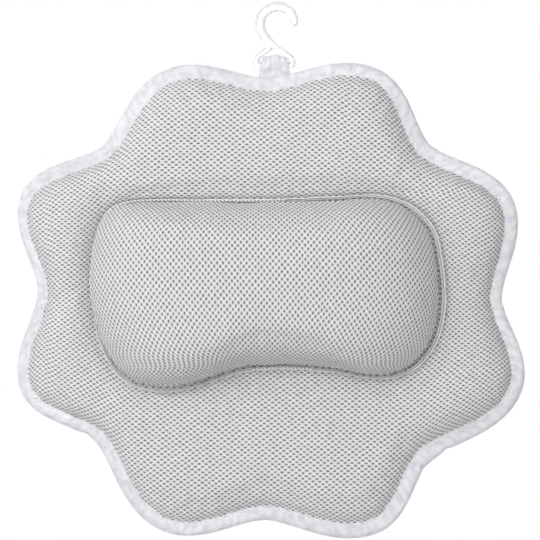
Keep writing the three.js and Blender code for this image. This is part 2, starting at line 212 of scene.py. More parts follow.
def mesh_object(name: str, points: np.ndarray, faces: Sequence[Sequence[int]]) -> bpy.types.Object:
    """Makes an object of points and faces.

    Args:
        name: its name.
        points: x, y and z in the last axis.
        faces: the points' numbers round each face.
    Returns:
        The object.
    """
    mesh = bpy.data.meshes.new(name)
    mesh.from_pydata(points.reshape(-1, 3).tolist(), [], faces)
    return linked(name, mesh)


def points_of(obj: bpy.types.Object) -> np.ndarray:
    """Reads an object's vertices.

    Args:
        obj: the object.
    Returns:
        Rows of x, y and z.
    """
    values = np.zeros(len(obj.data.vertices) * 3, np.float32)
    obj.data.vertices.foreach_get("co", values)
    return values.reshape(-1, 3).astype(float)


def set_points(obj: bpy.types.Object, points: np.ndarray) -> None:
    """Moves the object's vertices to these points."""
    obj.data.vertices.foreach_set("co", points.astype(np.float32).ravel())
    obj.data.update()


@contextmanager
def edited(obj: bpy.types.Object) -> Iterator[bmesh.types.BMesh]:
    """Lends an object's mesh for editing and writes it back.

    Args:
        obj: the object.
    Returns:
        The mesh to edit.
    """
    shell = bmesh.new()
    shell.from_mesh(obj.data)
    yield shell
    shell.to_mesh(obj.data)
    shell.free()


def face_out(obj: bpy.types.Object, merged: bool = True) -> None:
    """Turns the faces of a closed mesh outwards.

    Args:
        obj: the object.
        merged: whether its doubles are merged first.
    """
    with edited(obj) as shell:
        if merged:
            bmesh.ops.remove_doubles(shell, verts=shell.verts, dist=TINY)
        bmesh.ops.recalc_face_normals(shell, faces=shell.faces)


def ripple(turns: np.ndarray, seed: int, fewest: int, most: int, waves: int = 9) -> np.ndarray:
    """Smooth uneven ripples round a closed outline, about -1 to 1.

    Args:
        turns: places round the outline, 0 to 1.
        seed: picks the ripples.
        fewest: ripples in one turn, at the least.
        most: ripples in one turn, at the most.
        waves: how many are mixed.
    Returns:
        One value for each place.
    """
    chance = np.random.default_rng(seed)
    counts = chance.integers(fewest, most + 1, waves)
    phases = chance.uniform(0, 2 * math.pi, waves)
    total = sum(np.sin(2 * math.pi * turns * n + phase) for n, phase in zip(counts, phases))
    return total / math.sqrt(waves)


def near_turn(turns: np.ndarray, degrees: float, width: float) -> np.ndarray:
    """A smooth bump of height 1 round an angle in degrees, as wide as width degrees."""
    away = (turns * 360 - degrees + 180) % 360 - 180
    return np.exp(-((away / width) ** 2))


def reaches(points: np.ndarray) -> np.ndarray:
    """The way from the first point to each one, along the line through them."""
    return np.concatenate([[0], np.cumsum(np.linalg.norm(np.diff(points, axis=0), axis=1))])


def unit(rows: np.ndarray) -> np.ndarray:
    """The rows as vectors of length 1."""
    return rows / np.linalg.norm(rows, axis=1)[:, None]


def turns_at(away: np.ndarray) -> np.ndarray:
    """Angles of rows of x and z, in turns clockwise from the top."""
    return (np.arctan2(away[:, 0], away[:, 1]) / (2 * math.pi)) % 1


def smooth_path(knots: Sequence[Sequence[float]], count: int, bias: float = 0.0) -> np.ndarray:
    """Points along a smooth curve through knots.

    Args:
        knots: the points that it passes.
        count: how many points to return.
        bias: 0 spreads them evenly, and 1 crowds them at both ends.
    Returns:
        The points, first and last knot included.
    """
    rows = np.array(knots, float)
    reach = reaches(rows)
    even = np.linspace(0, 1, count)
    crowded = (1 - np.cos(math.pi * even)) / 2
    at = (even * (1 - bias) + crowded * bias) * reach[-1]
    slopes = np.gradient(rows, reach, axis=0)
    span = np.clip(np.searchsorted(reach, at, side="right") - 1, 0, len(rows) - 2)
    gap = (reach[span + 1] - reach[span])[:, None]
    t = ((at - reach[span]) / gap[:, 0])[:, None]
    return (
        (2 * t**3 - 3 * t**2 + 1) * rows[span]
        + (t**3 - 2 * t**2 + t) * gap * slopes[span]
        + (-2 * t**3 + 3 * t**2) * rows[span + 1]
        + (t**3 - t**2) * gap * slopes[span + 1]
    )


@dataclass(frozen=True)
class Lean:
    """The mat's lean about the hook's bar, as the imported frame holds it."""

    pivot: tuple[float, float, float]
    angle: float

    @classmethod
    def from_joints(cls, joints: list[dict[str, Any]]) -> "Lean":
        """Reads the bar's place and the way that a suction cup points.

        Args:
            joints: the frame's joints.
        Returns:
            The lean.
        """
        swing = next(j for j in joints if j["name"] == "hook_swing")
        cup = next(j for j in joints if j["name"] == "cup_turn_1")
        return cls(tuple(swing["pos_m"]), math.atan2(cup["axis"][2], cup["axis"][1]))

    def matrix(self) -> Matrix:
        """The turn from upright to hanging."""
        pivot = Matrix.Translation(Vector(self.pivot))
        return pivot @ Matrix.Rotation(self.angle, 4, "X") @ pivot.inverted()

    def upright(self, points: np.ndarray) -> np.ndarray:
        """Undoes the lean for rows of x, y and z."""
        back = np.array(self.matrix().inverted())
        return points @ back[:3, :3].T + back[:3, 3]

    def hang(self, obj: bpy.types.Object) -> None:
        """Leans a finished piece."""
        obj.data.transform(self.matrix())
        obj.data.update()


@dataclass(frozen=True)
class Outline:
    """A closed outline seen from the front: distances at equal angles, clockwise from the top."""

    centre: tuple[float, float]
    radii: np.ndarray

    @classmethod
    def through(cls, places: np.ndarray, centre: Sequence[float], steps: int) -> "Outline":
        """Takes the outline from (x, z) points that lie on it.

        Args:
            places: rows of x and z.
            centre: x and z that the angles are measured about.
            steps: how many distances to keep.
        Returns:
            The outline.
        """
        away = places - np.array(centre)
        turns = turns_at(away)
        order = np.argsort(turns)
        radii = np.interp(
            np.arange(steps) / steps, turns[order], np.linalg.norm(away, axis=1)[order], period=1
        )
        return cls((float(centre[0]), float(centre[1])), radii)

    @classmethod
    def widest(cls, places: np.ndarray, centre: Sequence[float], steps: int) -> "Outline":
        """Takes the outline from the points that lie furthest out.

        Args:
            places: rows of x and z.
            centre: x and z that the angles are measured about.
            steps: how many distances to keep.
        Returns:
            The outline.
        """
        away = places - np.array(centre)
        turns = turns_at(away)
        slots = np.round(turns * steps).astype(int) % steps
        radii = np.zeros(steps)
        np.maximum.at(radii, slots, np.linalg.norm(away, axis=1))
        return cls((float(centre[0]), float(centre[1])), radii)

    def radius(self, turns: np.ndarray) -> np.ndarray:
        """Distances on a smooth curve through those kept.

        Args:
            turns: any angles, in turns.
        Returns:
            The distance at each.
        """
        count = len(self.radii)
        place = (np.asarray(turns) % 1) * count
        first = np.floor(place).astype(int)
        t = place - first
        before, start, end, after = (self.radii[(first + i) % count] for i in (-1, 0, 1, 2))
        bend = 2 * before - 5 * start + 4 * end - after + t * (3 * (start - end) + after - before)
        return start + 0.5 * t * (end - before + t * bend)

    def places(self, turns: np.ndarray, inset: np.ndarray | float = 0.0) -> np.ndarray:
        """Places on the outline.

        Args:
            turns: their angles, in turns.
            inset: how far towards the centre they are moved.
        Returns:
            Rows of x and z.
        """
        radius = self.radius(turns) - inset
        angle = 2 * math.pi * np.asarray(turns)
        return np.array(self.centre) + np.stack([np.sin(angle), np.cos(angle)], 1) * radius[:, None]


def raised(places: np.ndarray, y: np.ndarray | float) -> np.ndarray:
    """Rows of x, y and z from rows of x and z."""
    return np.stack([places[:, 0], np.broadcast_to(y, len(places)), places[:, 1]], 1)


def set_weave(obj: bpy.types.Object, lengths: np.ndarray) -> None:
    """Gives a sheet its map called weave, of both lengths on the cloth at each corner, in metres."""
    obj.data.uv_layers.new(name="weave").data.foreach_set("uv", lengths.astype(np.float32).ravel())


def ring_mesh(
    name: str, rings: np.ndarray, side: Side = Side.FRONT, looped: bool = False, pole: bool = False,
    across: np.ndarray | None = None,
) -> bpy.types.Object:
    """Makes a mesh between closed rings of points that run clockwise, seen from the front.

    Args:
        name: the object's name.
        rings: points by ring, place and axis, from the outermost ring inwards.
        side: which way the faces look.
        looped: joins the last ring to the first.
        pole: closes the last ring at its middle.
        across: length across the cloth at each ring, for a map along and across it.
    Returns:
        The object.
    """
    count, steps, _ = rings.shape
    points = rings.reshape(-1, 3)
    last = count if looped else count - 1
    corners = []
    for k in range(last):
        for i in range(steps):
            square = [(k, i), (k + 1, i), (k + 1, i + 1), (k, i + 1)]
            corners += square if side is Side.FRONT else square[::-1]
    indices = [(k % count) * steps + i % steps for k, i in corners]
    faces = [indices[n : n + 4] for n in range(0, len(indices), 4)]
    if pole:
        points = np.vstack([points, rings[-1].mean(0)])
        tip = len(points) - 1
        base = (count - 1) * steps
        fan = [[base + i, tip, base + (i + 1) % steps] for i in range(steps)]
        faces += fan if side is Side.FRONT else [face[::-1] for face in fan]
    obj = mesh_object(name, points, faces)
    if across is not None:
        middle = rings[count // 2]
        along = reaches(np.vstack([middle, middle[:1]]))
        set_weave(obj, np.array([(along[i], across[k]) for k, i in corners]))
    smooth(obj)
    return obj


@dataclass(frozen=True)
class ClothMap:
    """Lengths along a stretched cloth from its middle, across and up, read off its surface from the front."""

    low: np.ndarray
    pitch: float
    lengths: np.ndarray

    @classmethod
    def over(cls, obj: bpy.types.Object, centre: Sequence[float], pitch: float = 2 * MM) -> "ClothMap":
        """Looks at a surface from the front at every crossing of a grid and adds up the way between them.

        Args:
            obj: the surface.
            centre: x and z where both lengths are 0.
            pitch: the grid's spacing.
        Returns:
            The map.
        """
        points = points_of(obj)
        tree = BVHTree.FromPolygons(points.tolist(), [list(p.vertices) for p in obj.data.polygons])
        low = points.min(0)[[0, 2]] - 2 * pitch
        high = points.max(0)[[0, 2]] + 2 * pitch
        xs = np.arange(low[0], high[0] + pitch, pitch)
        zs = np.arange(low[1], high[1] + pitch, pitch)
        depth = np.full((len(xs), len(zs)), np.nan)
        for i, x in enumerate(xs):
            for j, z in enumerate(zs):
                hit = tree.ray_cast(Vector((x, -1.0, z)), Vector((0.0, 1.0, 0.0)))[0]
                if hit is not None:
                    depth[i, j] = hit.y
        lengths = []
        for axis, start in enumerate(centre):
            steps = np.sqrt(pitch**2 + np.nan_to_num(np.diff(depth, axis=axis)) ** 2)
            total = np.insert(np.cumsum(steps, axis=axis), 0, 0.0, axis=axis)
            origin = int(round((start - low[axis]) / pitch))
            lengths.append(total - np.take(total, [origin], axis=axis))
        return cls(low, pitch, np.stack(lengths, 2))

    def at(self, places: np.ndarray) -> np.ndarray:
        """Reads the lengths at some places.

        Args:
            places: rows of x and z.
        Returns:
            The length across and the length up at each.
        """
        spot = (places - self.low) / self.pitch
        top = np.array(self.lengths.shape[:2]) - 2
        first = np.clip(np.floor(spot).astype(int), 0, top)
        t = np.clip(spot - first, 0, 1)
        i, j = first.T
        a, b = t[:, :1], t[:, 1:]
        grid = self.lengths
        return (
            grid[i, j] * (1 - a) * (1 - b)
            + grid[i + 1, j] * a * (1 - b)
            + grid[i, j + 1] * (1 - a) * b
            + grid[i + 1, j + 1] * a * b
        )


@dataclass(frozen=True)
class Grain:
    """How far a sewn cloth's rows and columns run off straight, as the photograph shows them."""

    lean: float = 0.0
    fall: float = 0.0
    bow: float = 0.0
    fan: float = 0.0
    waist: float = 0.0
    crowding: tuple[float, float] = (0.0, 0.0)
    crowded_from: float = 0.11
    crowded_over: float = 0.05

    def drawn(self, lengths: np.ndarray) -> np.ndarray:
        """Shifts lengths across and up the cloth.

        Args:
            lengths: rows of both lengths in metres.
        Returns:
            The same rows, off straight.
        """
        across, up = lengths.T
        beyond = np.clip(np.abs(across) - self.crowded_from, 0, None)
        side = np.clip(beyond / self.crowded_over, 0, 1)
        new_across = across * (1 - self.fan * up + self.waist * up**2) - self.lean * up
        new_across = new_across + np.sign(across) * self.crowding[0] * beyond
        new_up = up * (1 + self.crowding[1] * side * side * (3 - 2 * side)) + self.fall * across
        return np.stack([new_across, new_up + self.bow * across**2], 1)


def lay_weave(
    obj: bpy.types.Object, rings: tuple[int, int], centre: Sequence[float], grain: Grain, tucked: int = 0
) -> None:
    """Gives a ringed sheet a map called weave, in metres along the cloth.

    Args:
        obj: the sheet, before its wall has a thickness.
        rings: its number of rings and of places in each.
        centre: x and z where the map starts.
        grain: how the cloth's rows and columns run.
        tucked: how many of the outermost rings turn under the widest one.
    """
    points = points_of(obj)
    cloth = ClothMap.over(obj, centre)
    lengths = cloth.at(points[:, [0, 2]])
    count, steps = rings
    ringed = points[: count * steps].reshape(count, steps, 3)
    grid = lengths[: count * steps].reshape(count, steps, 2)  # a view, so that lengths follows it
    for k in range(tucked - 1, -1, -1):
        outward = unit(ringed[tucked][:, [0, 2]] - np.array(centre))
        gap = np.linalg.norm(ringed[k] - ringed[k + 1], axis=1)[:, None]
        grid[k] = grid[k + 1] + outward * gap
    lengths = grain.drawn(lengths)
    corners = np.zeros(len(obj.data.loops), np.int32)
    obj.data.loops.foreach_get("vertex_index", corners)
    set_weave(obj, lengths[corners])


def inflate(obj: bpy.types.Object, sewn: np.ndarray, reach: float, slack: float, pressure: float) -> None:
    """Blows a sheet out as cloth from its sewn places, and keeps how far each point went in or out.

    Args:
        obj: the sheet.
        sewn: for each vertex, whether stitching holds it.
        reach: how far a point may move out.
        slack: spare cloth, as a share of its length.
        pressure: what blows it out.
    """
    before = points_of(obj)
    normals = np.zeros(before.size, np.float32)
    obj.data.vertices.foreach_get("normal", normals)
    normals = normals.reshape(-1, 3)
    group = obj.vertex_groups.new(name="sewn")
    group.add(np.flatnonzero(sewn).tolist(), 1.0, "REPLACE")
    modifier = obj.modifiers.new("Cloth", "CLOTH")
    cloth = modifier.settings
    cloth.quality = 8
    cloth.mass = 0.002
    cloth.air_damping = 4.0
    cloth.tension_stiffness = 8
    cloth.compression_stiffness = 4
    cloth.shear_stiffness = 4
    cloth.bending_stiffness = 0.2
    cloth.shrink_min = -slack
    cloth.use_pressure = True
    cloth.uniform_pressure_force = pressure
    cloth.vertex_group_mass = "sewn"
    cloth.effector_weights.gravity = 0
    for step in range(1, CLOTH_FRAMES + 1):
        bpy.context.scene.frame_set(step)
    shaped = obj.evaluated_get(bpy.context.evaluated_depsgraph_get())
    moves = np.nan_to_num(points_of(shaped) - before)
    obj.modifiers.remove(modifier)
    obj.vertex_groups.remove(group)
    bpy.context.scene.frame_set(1)
    out = (moves * normals).sum(1)
    push = np.clip(out, -MOST_SUNK, reach)
    set_points(obj, before + normals * push[:, None])
    log.info(
        "%s blown out: middle value %.2f mm, most %.2f mm, least %.2f mm",
        obj.name, np.median(out) / MM, out.max() / MM, out.min() / MM,
    )


def open_pole(obj: bpy.types.Object) -> None:
    """Takes out the last vertex, where a ringed sheet comes to a point, so that it subdivides fast.

    Args:
        obj: the sheet.
    """
    with edited(obj) as shell:
        shell.verts.ensure_lookup_table()
        bmesh.ops.delete(shell, geom=[shell.verts[-1]], context="VERTS")


def close_pole(obj: bpy.types.Object, centre: Sequence[float]) -> None:
    """Closes the opening nearest a centre with one flat face that keeps the map of its neighbours.

    Args:
        obj: the sheet.
        centre: x and z of the opening's middle.
    """
    with edited(obj) as shell:
        weave = shell.loops.layers.uv.active
        reach = [
            (edge, max(math.hypot(v.co.x - centre[0], v.co.z - centre[1]) for v in edge.verts))
            for edge in shell.edges
            if edge.is_boundary
        ]
        nearest = min(distance for _, distance in reach)
        ring = [edge for edge, distance in reach if distance < 3 * nearest]
        known = {v: v.link_loops[0][weave].uv.copy() for edge in ring for v in edge.verts}
        for face in bmesh.ops.contextual_create(shell, geom=ring)["faces"]:
            face.smooth = True
            neighbour = next(f for f in face.edges[0].link_faces if f is not face)
            if face.normal.dot(neighbour.normal) < 0:
                face.normal_flip()
            for loop in face.loops:
                loop[weave].uv = known[loop.vert]


def back_up(
    obj: bpy.types.Object, thickness: float, centre: Sequence[float],
    loft: np.ndarray | None = None, least: float = 1.0,
) -> None:
    """Smooths a ringed sheet, closes its middle and gives it a wall behind its face.

    Args:
        obj: the sheet, with a pole as its last vertex.
        thickness: of the relaxed cloth.
        centre: x and z of the pole.
        loft: for each vertex, 1 where the cloth has its full thickness and 0 where it is pressed.
        least: thickness where pressed, as a share.
    """
    settings: dict[str, Any] = {"thickness": thickness, "offset": -1.0, "use_even_offset": False}
    if loft is not None:
        group = obj.vertex_groups.new(name="loft")
        for share in np.unique(loft):
            group.add(np.flatnonzero(loft == share).tolist(), float(share), "REPLACE")
        settings |= {"vertex_group": "loft", "thickness_vertex_group": least}
    open_pole(obj)
    subdivide(obj)
    close_pole(obj, centre)
    apply_modifier(obj, "SOLIDIFY", **settings)
    obj.vertex_groups.clear()


# Finishes


@dataclass(frozen=True)
class Finish:
    """What every finish has: a name and the record's slot that it belongs to."""

    name: str
    slot: str

    def surface(self, add: Adder) -> bpy.types.Node:
        """Adds the nodes of the surface.

        Args:
            add: adds a node to the material.
        Returns:
            The surface's shader.
        """
        raise NotImplementedError

    def material(self) -> bpy.types.Material:
        """Makes the material, once.

        Returns:
            The material.
        """
        made = bpy.data.materials.get(self.name)
        if made is None:
            made = bpy.data.materials.new(self.name)
            add = emptied(made)
            add("OutputMaterial", {"Surface": self.surface(add)})
        return made

    def dress(self, obj: bpy.types.Object) -> None:
        """Puts the finish on a piece.

        Args:
            obj: the piece.
        """
        obj.data.materials.clear()
        obj.data.materials.append(self.material())


def mottled(
    add: Adder, code: str, noise: bpy.types.Node, span: tuple[float, float], shades: tuple[float, float]
) -> bpy.types.Node:
    """Makes a colour darker and lighter by a noise.

    Args:
        add: adds a node to the material.
        code: the colour as six hex digits.
        noise: the noise.
        span: its values where the colour is darkest and lightest.
        shades: what the colour is multiplied by there.
    Returns:
        The node that gives the colour.
    """
    bounds = {1: span[0], 2: span[1], 3: shades[0], 4: shades[1]}
    tone = add("MapRange", {0: noise.outputs[0], **bounds}, clamp=True)
    return add("VectorMath", {0: linear(code)[:3], "Scale": tone}, operation="SCALE")


@dataclass(frozen=True)
class AirMesh(Finish):
    """Warp-knit polyester spacer mesh: open oval holes in a matt diamond net, painted dark for the shade on
    the inner yarns.
    """

    across: float = 5.3 * MM
    down: float = 4.1 * MM
    hole_across: float = 2.55 * MM
    hole_down: float = 1.35 * MM
    yarn: str = "e2e2e2"
    # Colour of the painted highlight on the threads' crests
    crest: str = "f6f6f6"
    # Colour painted into the holes as their shade
    shade: str = "828282"

    def surface(self, add: Adder) -> bpy.types.Node:
        """Draws the net on the cloth's own map, whose unit is a metre.

        Args:
            add: adds a node to the material.
        Returns:
            The surface's shader.
        """
        cloth = add("UVMap", uv_map="weave")
        # Knitting wanders by a few tenths of a millimetre
        wander = add("TexNoise", {"Vector": cloth, "Scale": 1 / (18 * MM), "Detail": 2.0})
        shift = add("VectorMath", {0: wander.outputs["Color"], 1: (0.5, 0.5, 0.5)}, operation="SUBTRACT")
        pull = add("VectorMath", {0: shift, "Scale": 1.6 * MM}, operation="SCALE")
        place = add("VectorMath", {0: cloth, 1: pull}, operation="ADD")
        axes = add("SeparateXYZ", {0: place})
        a = add("Math", {0: axes.outputs["X"], 1: self.across}, operation="DIVIDE")
        b = add("Math", {0: axes.outputs["Y"], 1: self.down}, operation="DIVIDE")
        # Holes lie at the whole numbers of both diagonals, and threads halfway between them
        offsets = []
        for sign in ("ADD", "SUBTRACT"):
            diagonal = add("Math", {0: a, 1: b}, operation=sign)
            moved = add("Math", {0: diagonal, 1: 0.5}, operation="ADD")
            part = add("Math", {0: moved}, operation="FRACT")
            offsets.append(add("Math", {0: part, 1: 0.5}, operation="SUBTRACT"))
        ovals = []
        for sign, size in (("ADD", self.across / self.hole_across), ("SUBTRACT", self.down / self.hole_down)):
            both = add("Math", {0: offsets[0], 1: offsets[1]}, operation=sign)
            ovals.append(add("Math", {0: both, 1: size}, operation="MULTIPLY"))
        oval = add("CombineXYZ", {0: ovals[0], 1: ovals[1]})
        away = add("VectorMath", {0: oval}, operation="LENGTH").outputs["Value"]
        # No two holes are cut alike
        uneven = add("TexNoise", {"Vector": place, "Scale": 1 / (6 * MM), "Detail": 1.0})
        size = add("MapRange", {0: uneven.outputs[0], 1: 0.3, 2: 0.7, 3: 0.9, 4: 1.12}, clamp=True)
        rim = add("Math", {0: away, 1: size}, operation="MULTIPLY")
        # Where the holes lie, painted dark as shade and sunk in the relief
        hole = add("MapRange", {0: rim, 1: 0.45, 2: 1.15, 3: 1.0, 4: 0.0}, interpolation_type="SMOOTHSTEP")
        sides = [add("Math", {0: offset}, operation="ABSOLUTE") for offset in offsets]
        nearest = add("Math", {0: sides[0], 1: sides[1]}, operation="MAXIMUM")
        # Painted highlight along the threads' crests, which also stand up in the relief
        crest = add(
            "MapRange", {0: nearest, 1: 0.28, 2: 0.46, 3: 0.0, 4: 1.0}, interpolation_type="SMOOTHSTEP"
        )
        # Yarn twist, drawn at 0.8 mm because the real 0.1 mm strands are too fine to show
        twist = add("TexNoise", {"Vector": cloth, "Scale": 1 / (0.8 * MM), "Detail": 2.0})
        # Loops stand up and catch the light where two threads cross
        crossing = add("Math", {0: sides[0], 1: sides[1]}, operation="MINIMUM")
        loop = add(
            "MapRange", {0: crossing, 1: 0.2, 2: 0.44, 3: 0.0, 4: 0.7}, interpolation_type="SMOOTHSTEP"
        )
        bright = add("Math", {0: crest, 1: 0.3, 2: loop}, operation="MULTIPLY_ADD")
        # Painted highlight: the yarn turns to the crest colour on the crests and at the crossing loops
        lit = add("Mix", {0: bright, 6: linear(self.yarn), 7: linear(self.crest)}, data_type="RGBA")
        # Painted shade in the holes
        deep = add("Mix", {0: hole, 6: lit.outputs[2], 7: linear(self.shade)}, data_type="RGBA")
        fleck = add("MapRange", {0: twist.outputs[0], 1: 0.3, 2: 0.7, 3: 0.82, 4: 1.1}, clamp=True)
        colour = add("VectorMath", {0: deep.outputs[2], "Scale": fleck}, operation="SCALE")
        level = add("Math", {0: hole, 1: -1.0, 2: 1.0}, operation="MULTIPLY_ADD")
        raised_yarn = add("Math", {0: crest, 1: 0.35, 2: level}, operation="MULTIPLY_ADD")
        relief = add("Math", {0: twist.outputs[0], 1: 0.25, 2: raised_yarn}, operation="MULTIPLY_ADD")
        bump = add("Bump", {"Height": relief, "Strength": 0.9, "Distance": 0.8 * MM})
        return add(
            "BsdfPrincipled",
            {"Base Color": colour, "Roughness": 0.86, "Sheen Weight": 0.12, "Sheen Roughness": 0.5,
             "Specular IOR Level": 0.25, "Normal": bump},
        )


@dataclass(frozen=True)
class WovenTape(Finish):
    """Bleached polyester binding tape: a close twill with a slight sheen, a little lavender from whitener."""

    colour: str = "f6f6fa"
    # Colour of the greyer cloudy patches
    worn: str = "dfdfe8"
    pitch: float = 0.9 * MM

    def surface(self, add: Adder) -> bpy.types.Node:
        """Draws slanted ribs, at 0.9 mm because the real 0.3 mm ones are too fine to show.

        Args:
            add: adds a node to the material.
        Returns:
            The surface's shader.
        """
        cloth = add("UVMap", uv_map="weave")
        axes = add("SeparateXYZ", {0: cloth})
        slant = add("Math", {0: axes.outputs["Y"], 1: 0.7, 2: axes.outputs["X"]}, operation="MULTIPLY_ADD")
        phase = add("Math", {0: slant, 1: 2 * math.pi / self.pitch}, operation="MULTIPLY")
        rib = add("Math", {0: phase}, operation="SINE")
        cloudy = add("TexNoise", {"Vector": cloth, "Scale": 1 / (6 * MM), "Detail": 5.0})
        crease = add("TexNoise", {"Vector": cloth, "Scale": 1 / (2.4 * MM), "Detail": 3.0})
        # Greyer lavender patches where the cloudy noise is high
        cloud_patches = add("MapRange", {0: cloudy.outputs[0], 1: 0.4, 2: 0.62, 3: 0.0, 4: 0.9}, clamp=True)
        colour = add("Mix", {0: cloud_patches, 6: linear(self.colour), 7: linear(self.worn)}, data_type="RGBA")
        relief = add("Math", {0: rib, 1: 0.12, 2: crease.outputs[0]}, operation="MULTIPLY_ADD")
        bump = add("Bump", {"Height": relief, "Strength": 0.9, "Distance": 0.8 * MM})
        return add(
            "BsdfPrincipled",
            {"Base Color": colour.outputs[2], "Roughness": 0.72, "Sheen Weight": 0.15, "Normal": bump},
        )


@dataclass(frozen=True)
class PlainCloth(Finish):
    """Plain-woven cotton and polyester cloth, matt, with a fine square weave and a soft cut edge."""

    colour: str = "f4f4f4"
    thread: float = 0.8 * MM

    def surface(self, add: Adder) -> bpy.types.Node:
        """Crosses two sets of threads, at 0.8 mm because the real 0.3 mm ones are too fine to show.

        Args:
            add: adds a node to the material.
        Returns:
            The surface's shader.
        """
        cloth = add("TexCoord").outputs["Object"]
        axes = add("SeparateXYZ", {0: cloth})
        waves = []
        for name in ("X", "Z"):
            phase = add("Math", {0: axes.outputs[name], 1: 2 * math.pi / self.thread}, operation="MULTIPLY")
            waves.append(add("Math", {0: phase}, operation="SINE"))
        weave = add("Math", {0: waves[0], 1: waves[1]}, operation="MULTIPLY")
        fuzz = add("TexNoise", {"Vector": cloth, "Scale": 1 / (2.5 * MM), "Detail": 3.0})
        relief = add("Math", {0: weave, 1: 0.3, 2: fuzz.outputs[0]}, operation="MULTIPLY_ADD")
        colour = mottled(add, self.colour, fuzz, (0.35, 0.65), (0.84, 1.06))
        bump = add("Bump", {"Height": relief, "Strength": 0.5, "Distance": 0.3 * MM})
        return add("BsdfPrincipled", {"Base Color": colour, "Roughness": 0.88, "Normal": bump})


@dataclass(frozen=True)
class FibreWadding(Finish):
    """Carded polyester fibre: a soft white mass of fine tangled hairs with no gloss."""

    colour: str = "f4f4f2"

    def surface(self, add: Adder) -> bpy.types.Node:
        """Tangles stretched noise for hairs about 2 mm apart.

        Args:
            add: adds a node to the material.
        Returns:
            The surface's shader.
        """
        place = add("TexCoord").outputs["Object"]
        drawn = add("Mapping", {"Vector": place, "Scale": (1.0, 3.0, 1.6)})
        hairs = add("TexNoise", {"Vector": drawn, "Scale": 1 / (2 * MM), "Detail": 5.0, "Distortion": 1.2})
        colour = mottled(add, self.colour, hairs, (0.3, 0.7), (0.86, 1.0))
        bump = add("Bump", {"Height": hairs.outputs[0], "Strength": 0.7, "Distance": 0.8 * MM})
        return add(
            "BsdfPrincipled", {"Base Color": colour, "Roughness": 1.0, "Sheen Weight": 0.3, "Normal": bump}
        )


@dataclass(frozen=True)
class SewingThread(Finish):
    """Twisted polyester sewing thread: white, with a faint shine along its strands."""

    colour: str = "fafafc"

    def surface(self, add: Adder) -> bpy.types.Node:
        """Shades the strands with noise 0.6 mm wide.

        Args:
            add: adds a node to the material.
        Returns:
            The surface's shader.
        """
        place = add("TexCoord").outputs["Object"]
        strand = add("TexNoise", {"Vector": place, "Scale": 1 / (0.6 * MM), "Detail": 1.0})
        colour = mottled(add, self.colour, strand, (0.3, 0.7), (0.93, 1.0))
        bump = add("Bump", {"Height": strand.outputs[0], "Strength": 0.4, "Distance": 0.1 * MM})
        return add("BsdfPrincipled", {"Base Color": colour, "Roughness": 0.6, "Normal": bump})


@dataclass(frozen=True)
class MilkyPlastic(Finish):
    """Injection-moulded natural polypropylene: milky, translucent and semi-gloss, with faint flow marks."""

    colour: str = "fafbff"
    roughness: float = 0.34

    def surface(self, add: Adder) -> bpy.types.Node:
        """Adds flow marks a few millimetres apart and the fine parting line on the mould's plane.

        Args:
            add: adds a node to the material.
        Returns:
            The surface's shader.
        """
        place = add("TexCoord").outputs["Object"]
        flow = add("TexNoise", {"Vector": place, "Scale": 1 / (5 * MM), "Detail": 3.0})
        grain = add("TexNoise", {"Vector": place, "Scale": 1 / (0.7 * MM), "Detail": 2.0})
        colour = mottled(add, self.colour, flow, (0.3, 0.7), (0.95, 1.0))
        axes = add("SeparateXYZ", {0: place})
        depth = add("Math", {0: axes.outputs["Y"]}, operation="ABSOLUTE")
        line = add("MapRange", {0: depth, 1: 0.05 * MM, 2: 0.3 * MM, 3: 1.0, 4: 0.0}, clamp=True)
        relief = add("Math", {0: grain.outputs[0], 1: 0.05, 2: line}, operation="MULTIPLY_ADD")
        bump = add("Bump", {"Height": relief, "Strength": 0.3, "Distance": 0.1 * MM})
        least, most = self.roughness - 0.05, self.roughness + 0.08
        gloss = add("MapRange", {0: flow.outputs[0], 1: 0.3, 2: 0.7, 3: least, 4: most}, clamp=True)
        return add(
            "BsdfPrincipled",
            {"Base Color": colour, "Roughness": gloss, "IOR": 1.49, "Subsurface Weight": 0.4,
             "Subsurface Radius": (1.0, 1.0, 1.0), "Subsurface Scale": 2.5 * MM, "Transmission Weight": 0.45,
             "Normal": bump},
        )


@dataclass(frozen=True)
class ClearVinyl(Finish):
    """Soft clear PVC, moulded: see-through with a faint blue tint, a wet gloss and slight ripples."""

    colour: str = "e6eef0"

    def surface(self, add: Adder) -> bpy.types.Node:
        """Lets most of the light through and ripples the surface 4 mm apart.

        Args:
            add: adds a node to the material.
        Returns:
            The surface's shader.
        """
        place = add("TexCoord").outputs["Object"]
        swirl = add("TexNoise", {"Vector": place, "Scale": 1 / (4 * MM), "Detail": 1.0})
        bump = add("Bump", {"Height": swirl.outputs[0], "Strength": 0.25, "Distance": 0.3 * MM})
        gloss = add("MapRange", {0: swirl.outputs[0], 1: 0.3, 2: 0.7, 3: 0.08, 4: 0.2}, clamp=True)
        return add(
            "BsdfPrincipled",
            {"Base Color": linear(self.colour), "Roughness": gloss, "IOR": 1.53, "Transmission Weight": 0.82,
             "Normal": bump},
        )


BASE_MESH = AirMesh("air_mesh_mat", "air_mesh")
# The mat's mesh turned a quarter turn, with yarn, crest and hole colours a little darker as painted shade on
# the whole cushion
CUSHION_MESH = AirMesh(
    "air_mesh_cushion", "air_mesh", across=4.4 * MM, down=5.4 * MM, hole_across=1.5 * MM, hole_down=2.3 * MM,
    yarn="dadada", crest="f5f5f5", shade="7c7c7c",
)
TAPE = WovenTape("bleached_twill_tape", "binding_tape")
CLOTH = PlainCloth("raw_cut_cloth", "plain_cloth")
WADDING = FibreWadding("fibre_wadding", "fibre_filling")
THREAD = SewingThread("sewing_thread", "binding_tape")
SEAM_THREAD = SewingThread("seam_thread", "plain_cloth")
HOOK_PLASTIC = MilkyPlastic("moulded_polypropylene", "hook_plastic")
EYELET_PLASTIC = MilkyPlastic("eyelet_polypropylene", "eyelet_plastic", colour="eff1f4", roughness=0.28)
VINYL = ClearVinyl("soft_vinyl", "cup_vinyl")


# Sewing


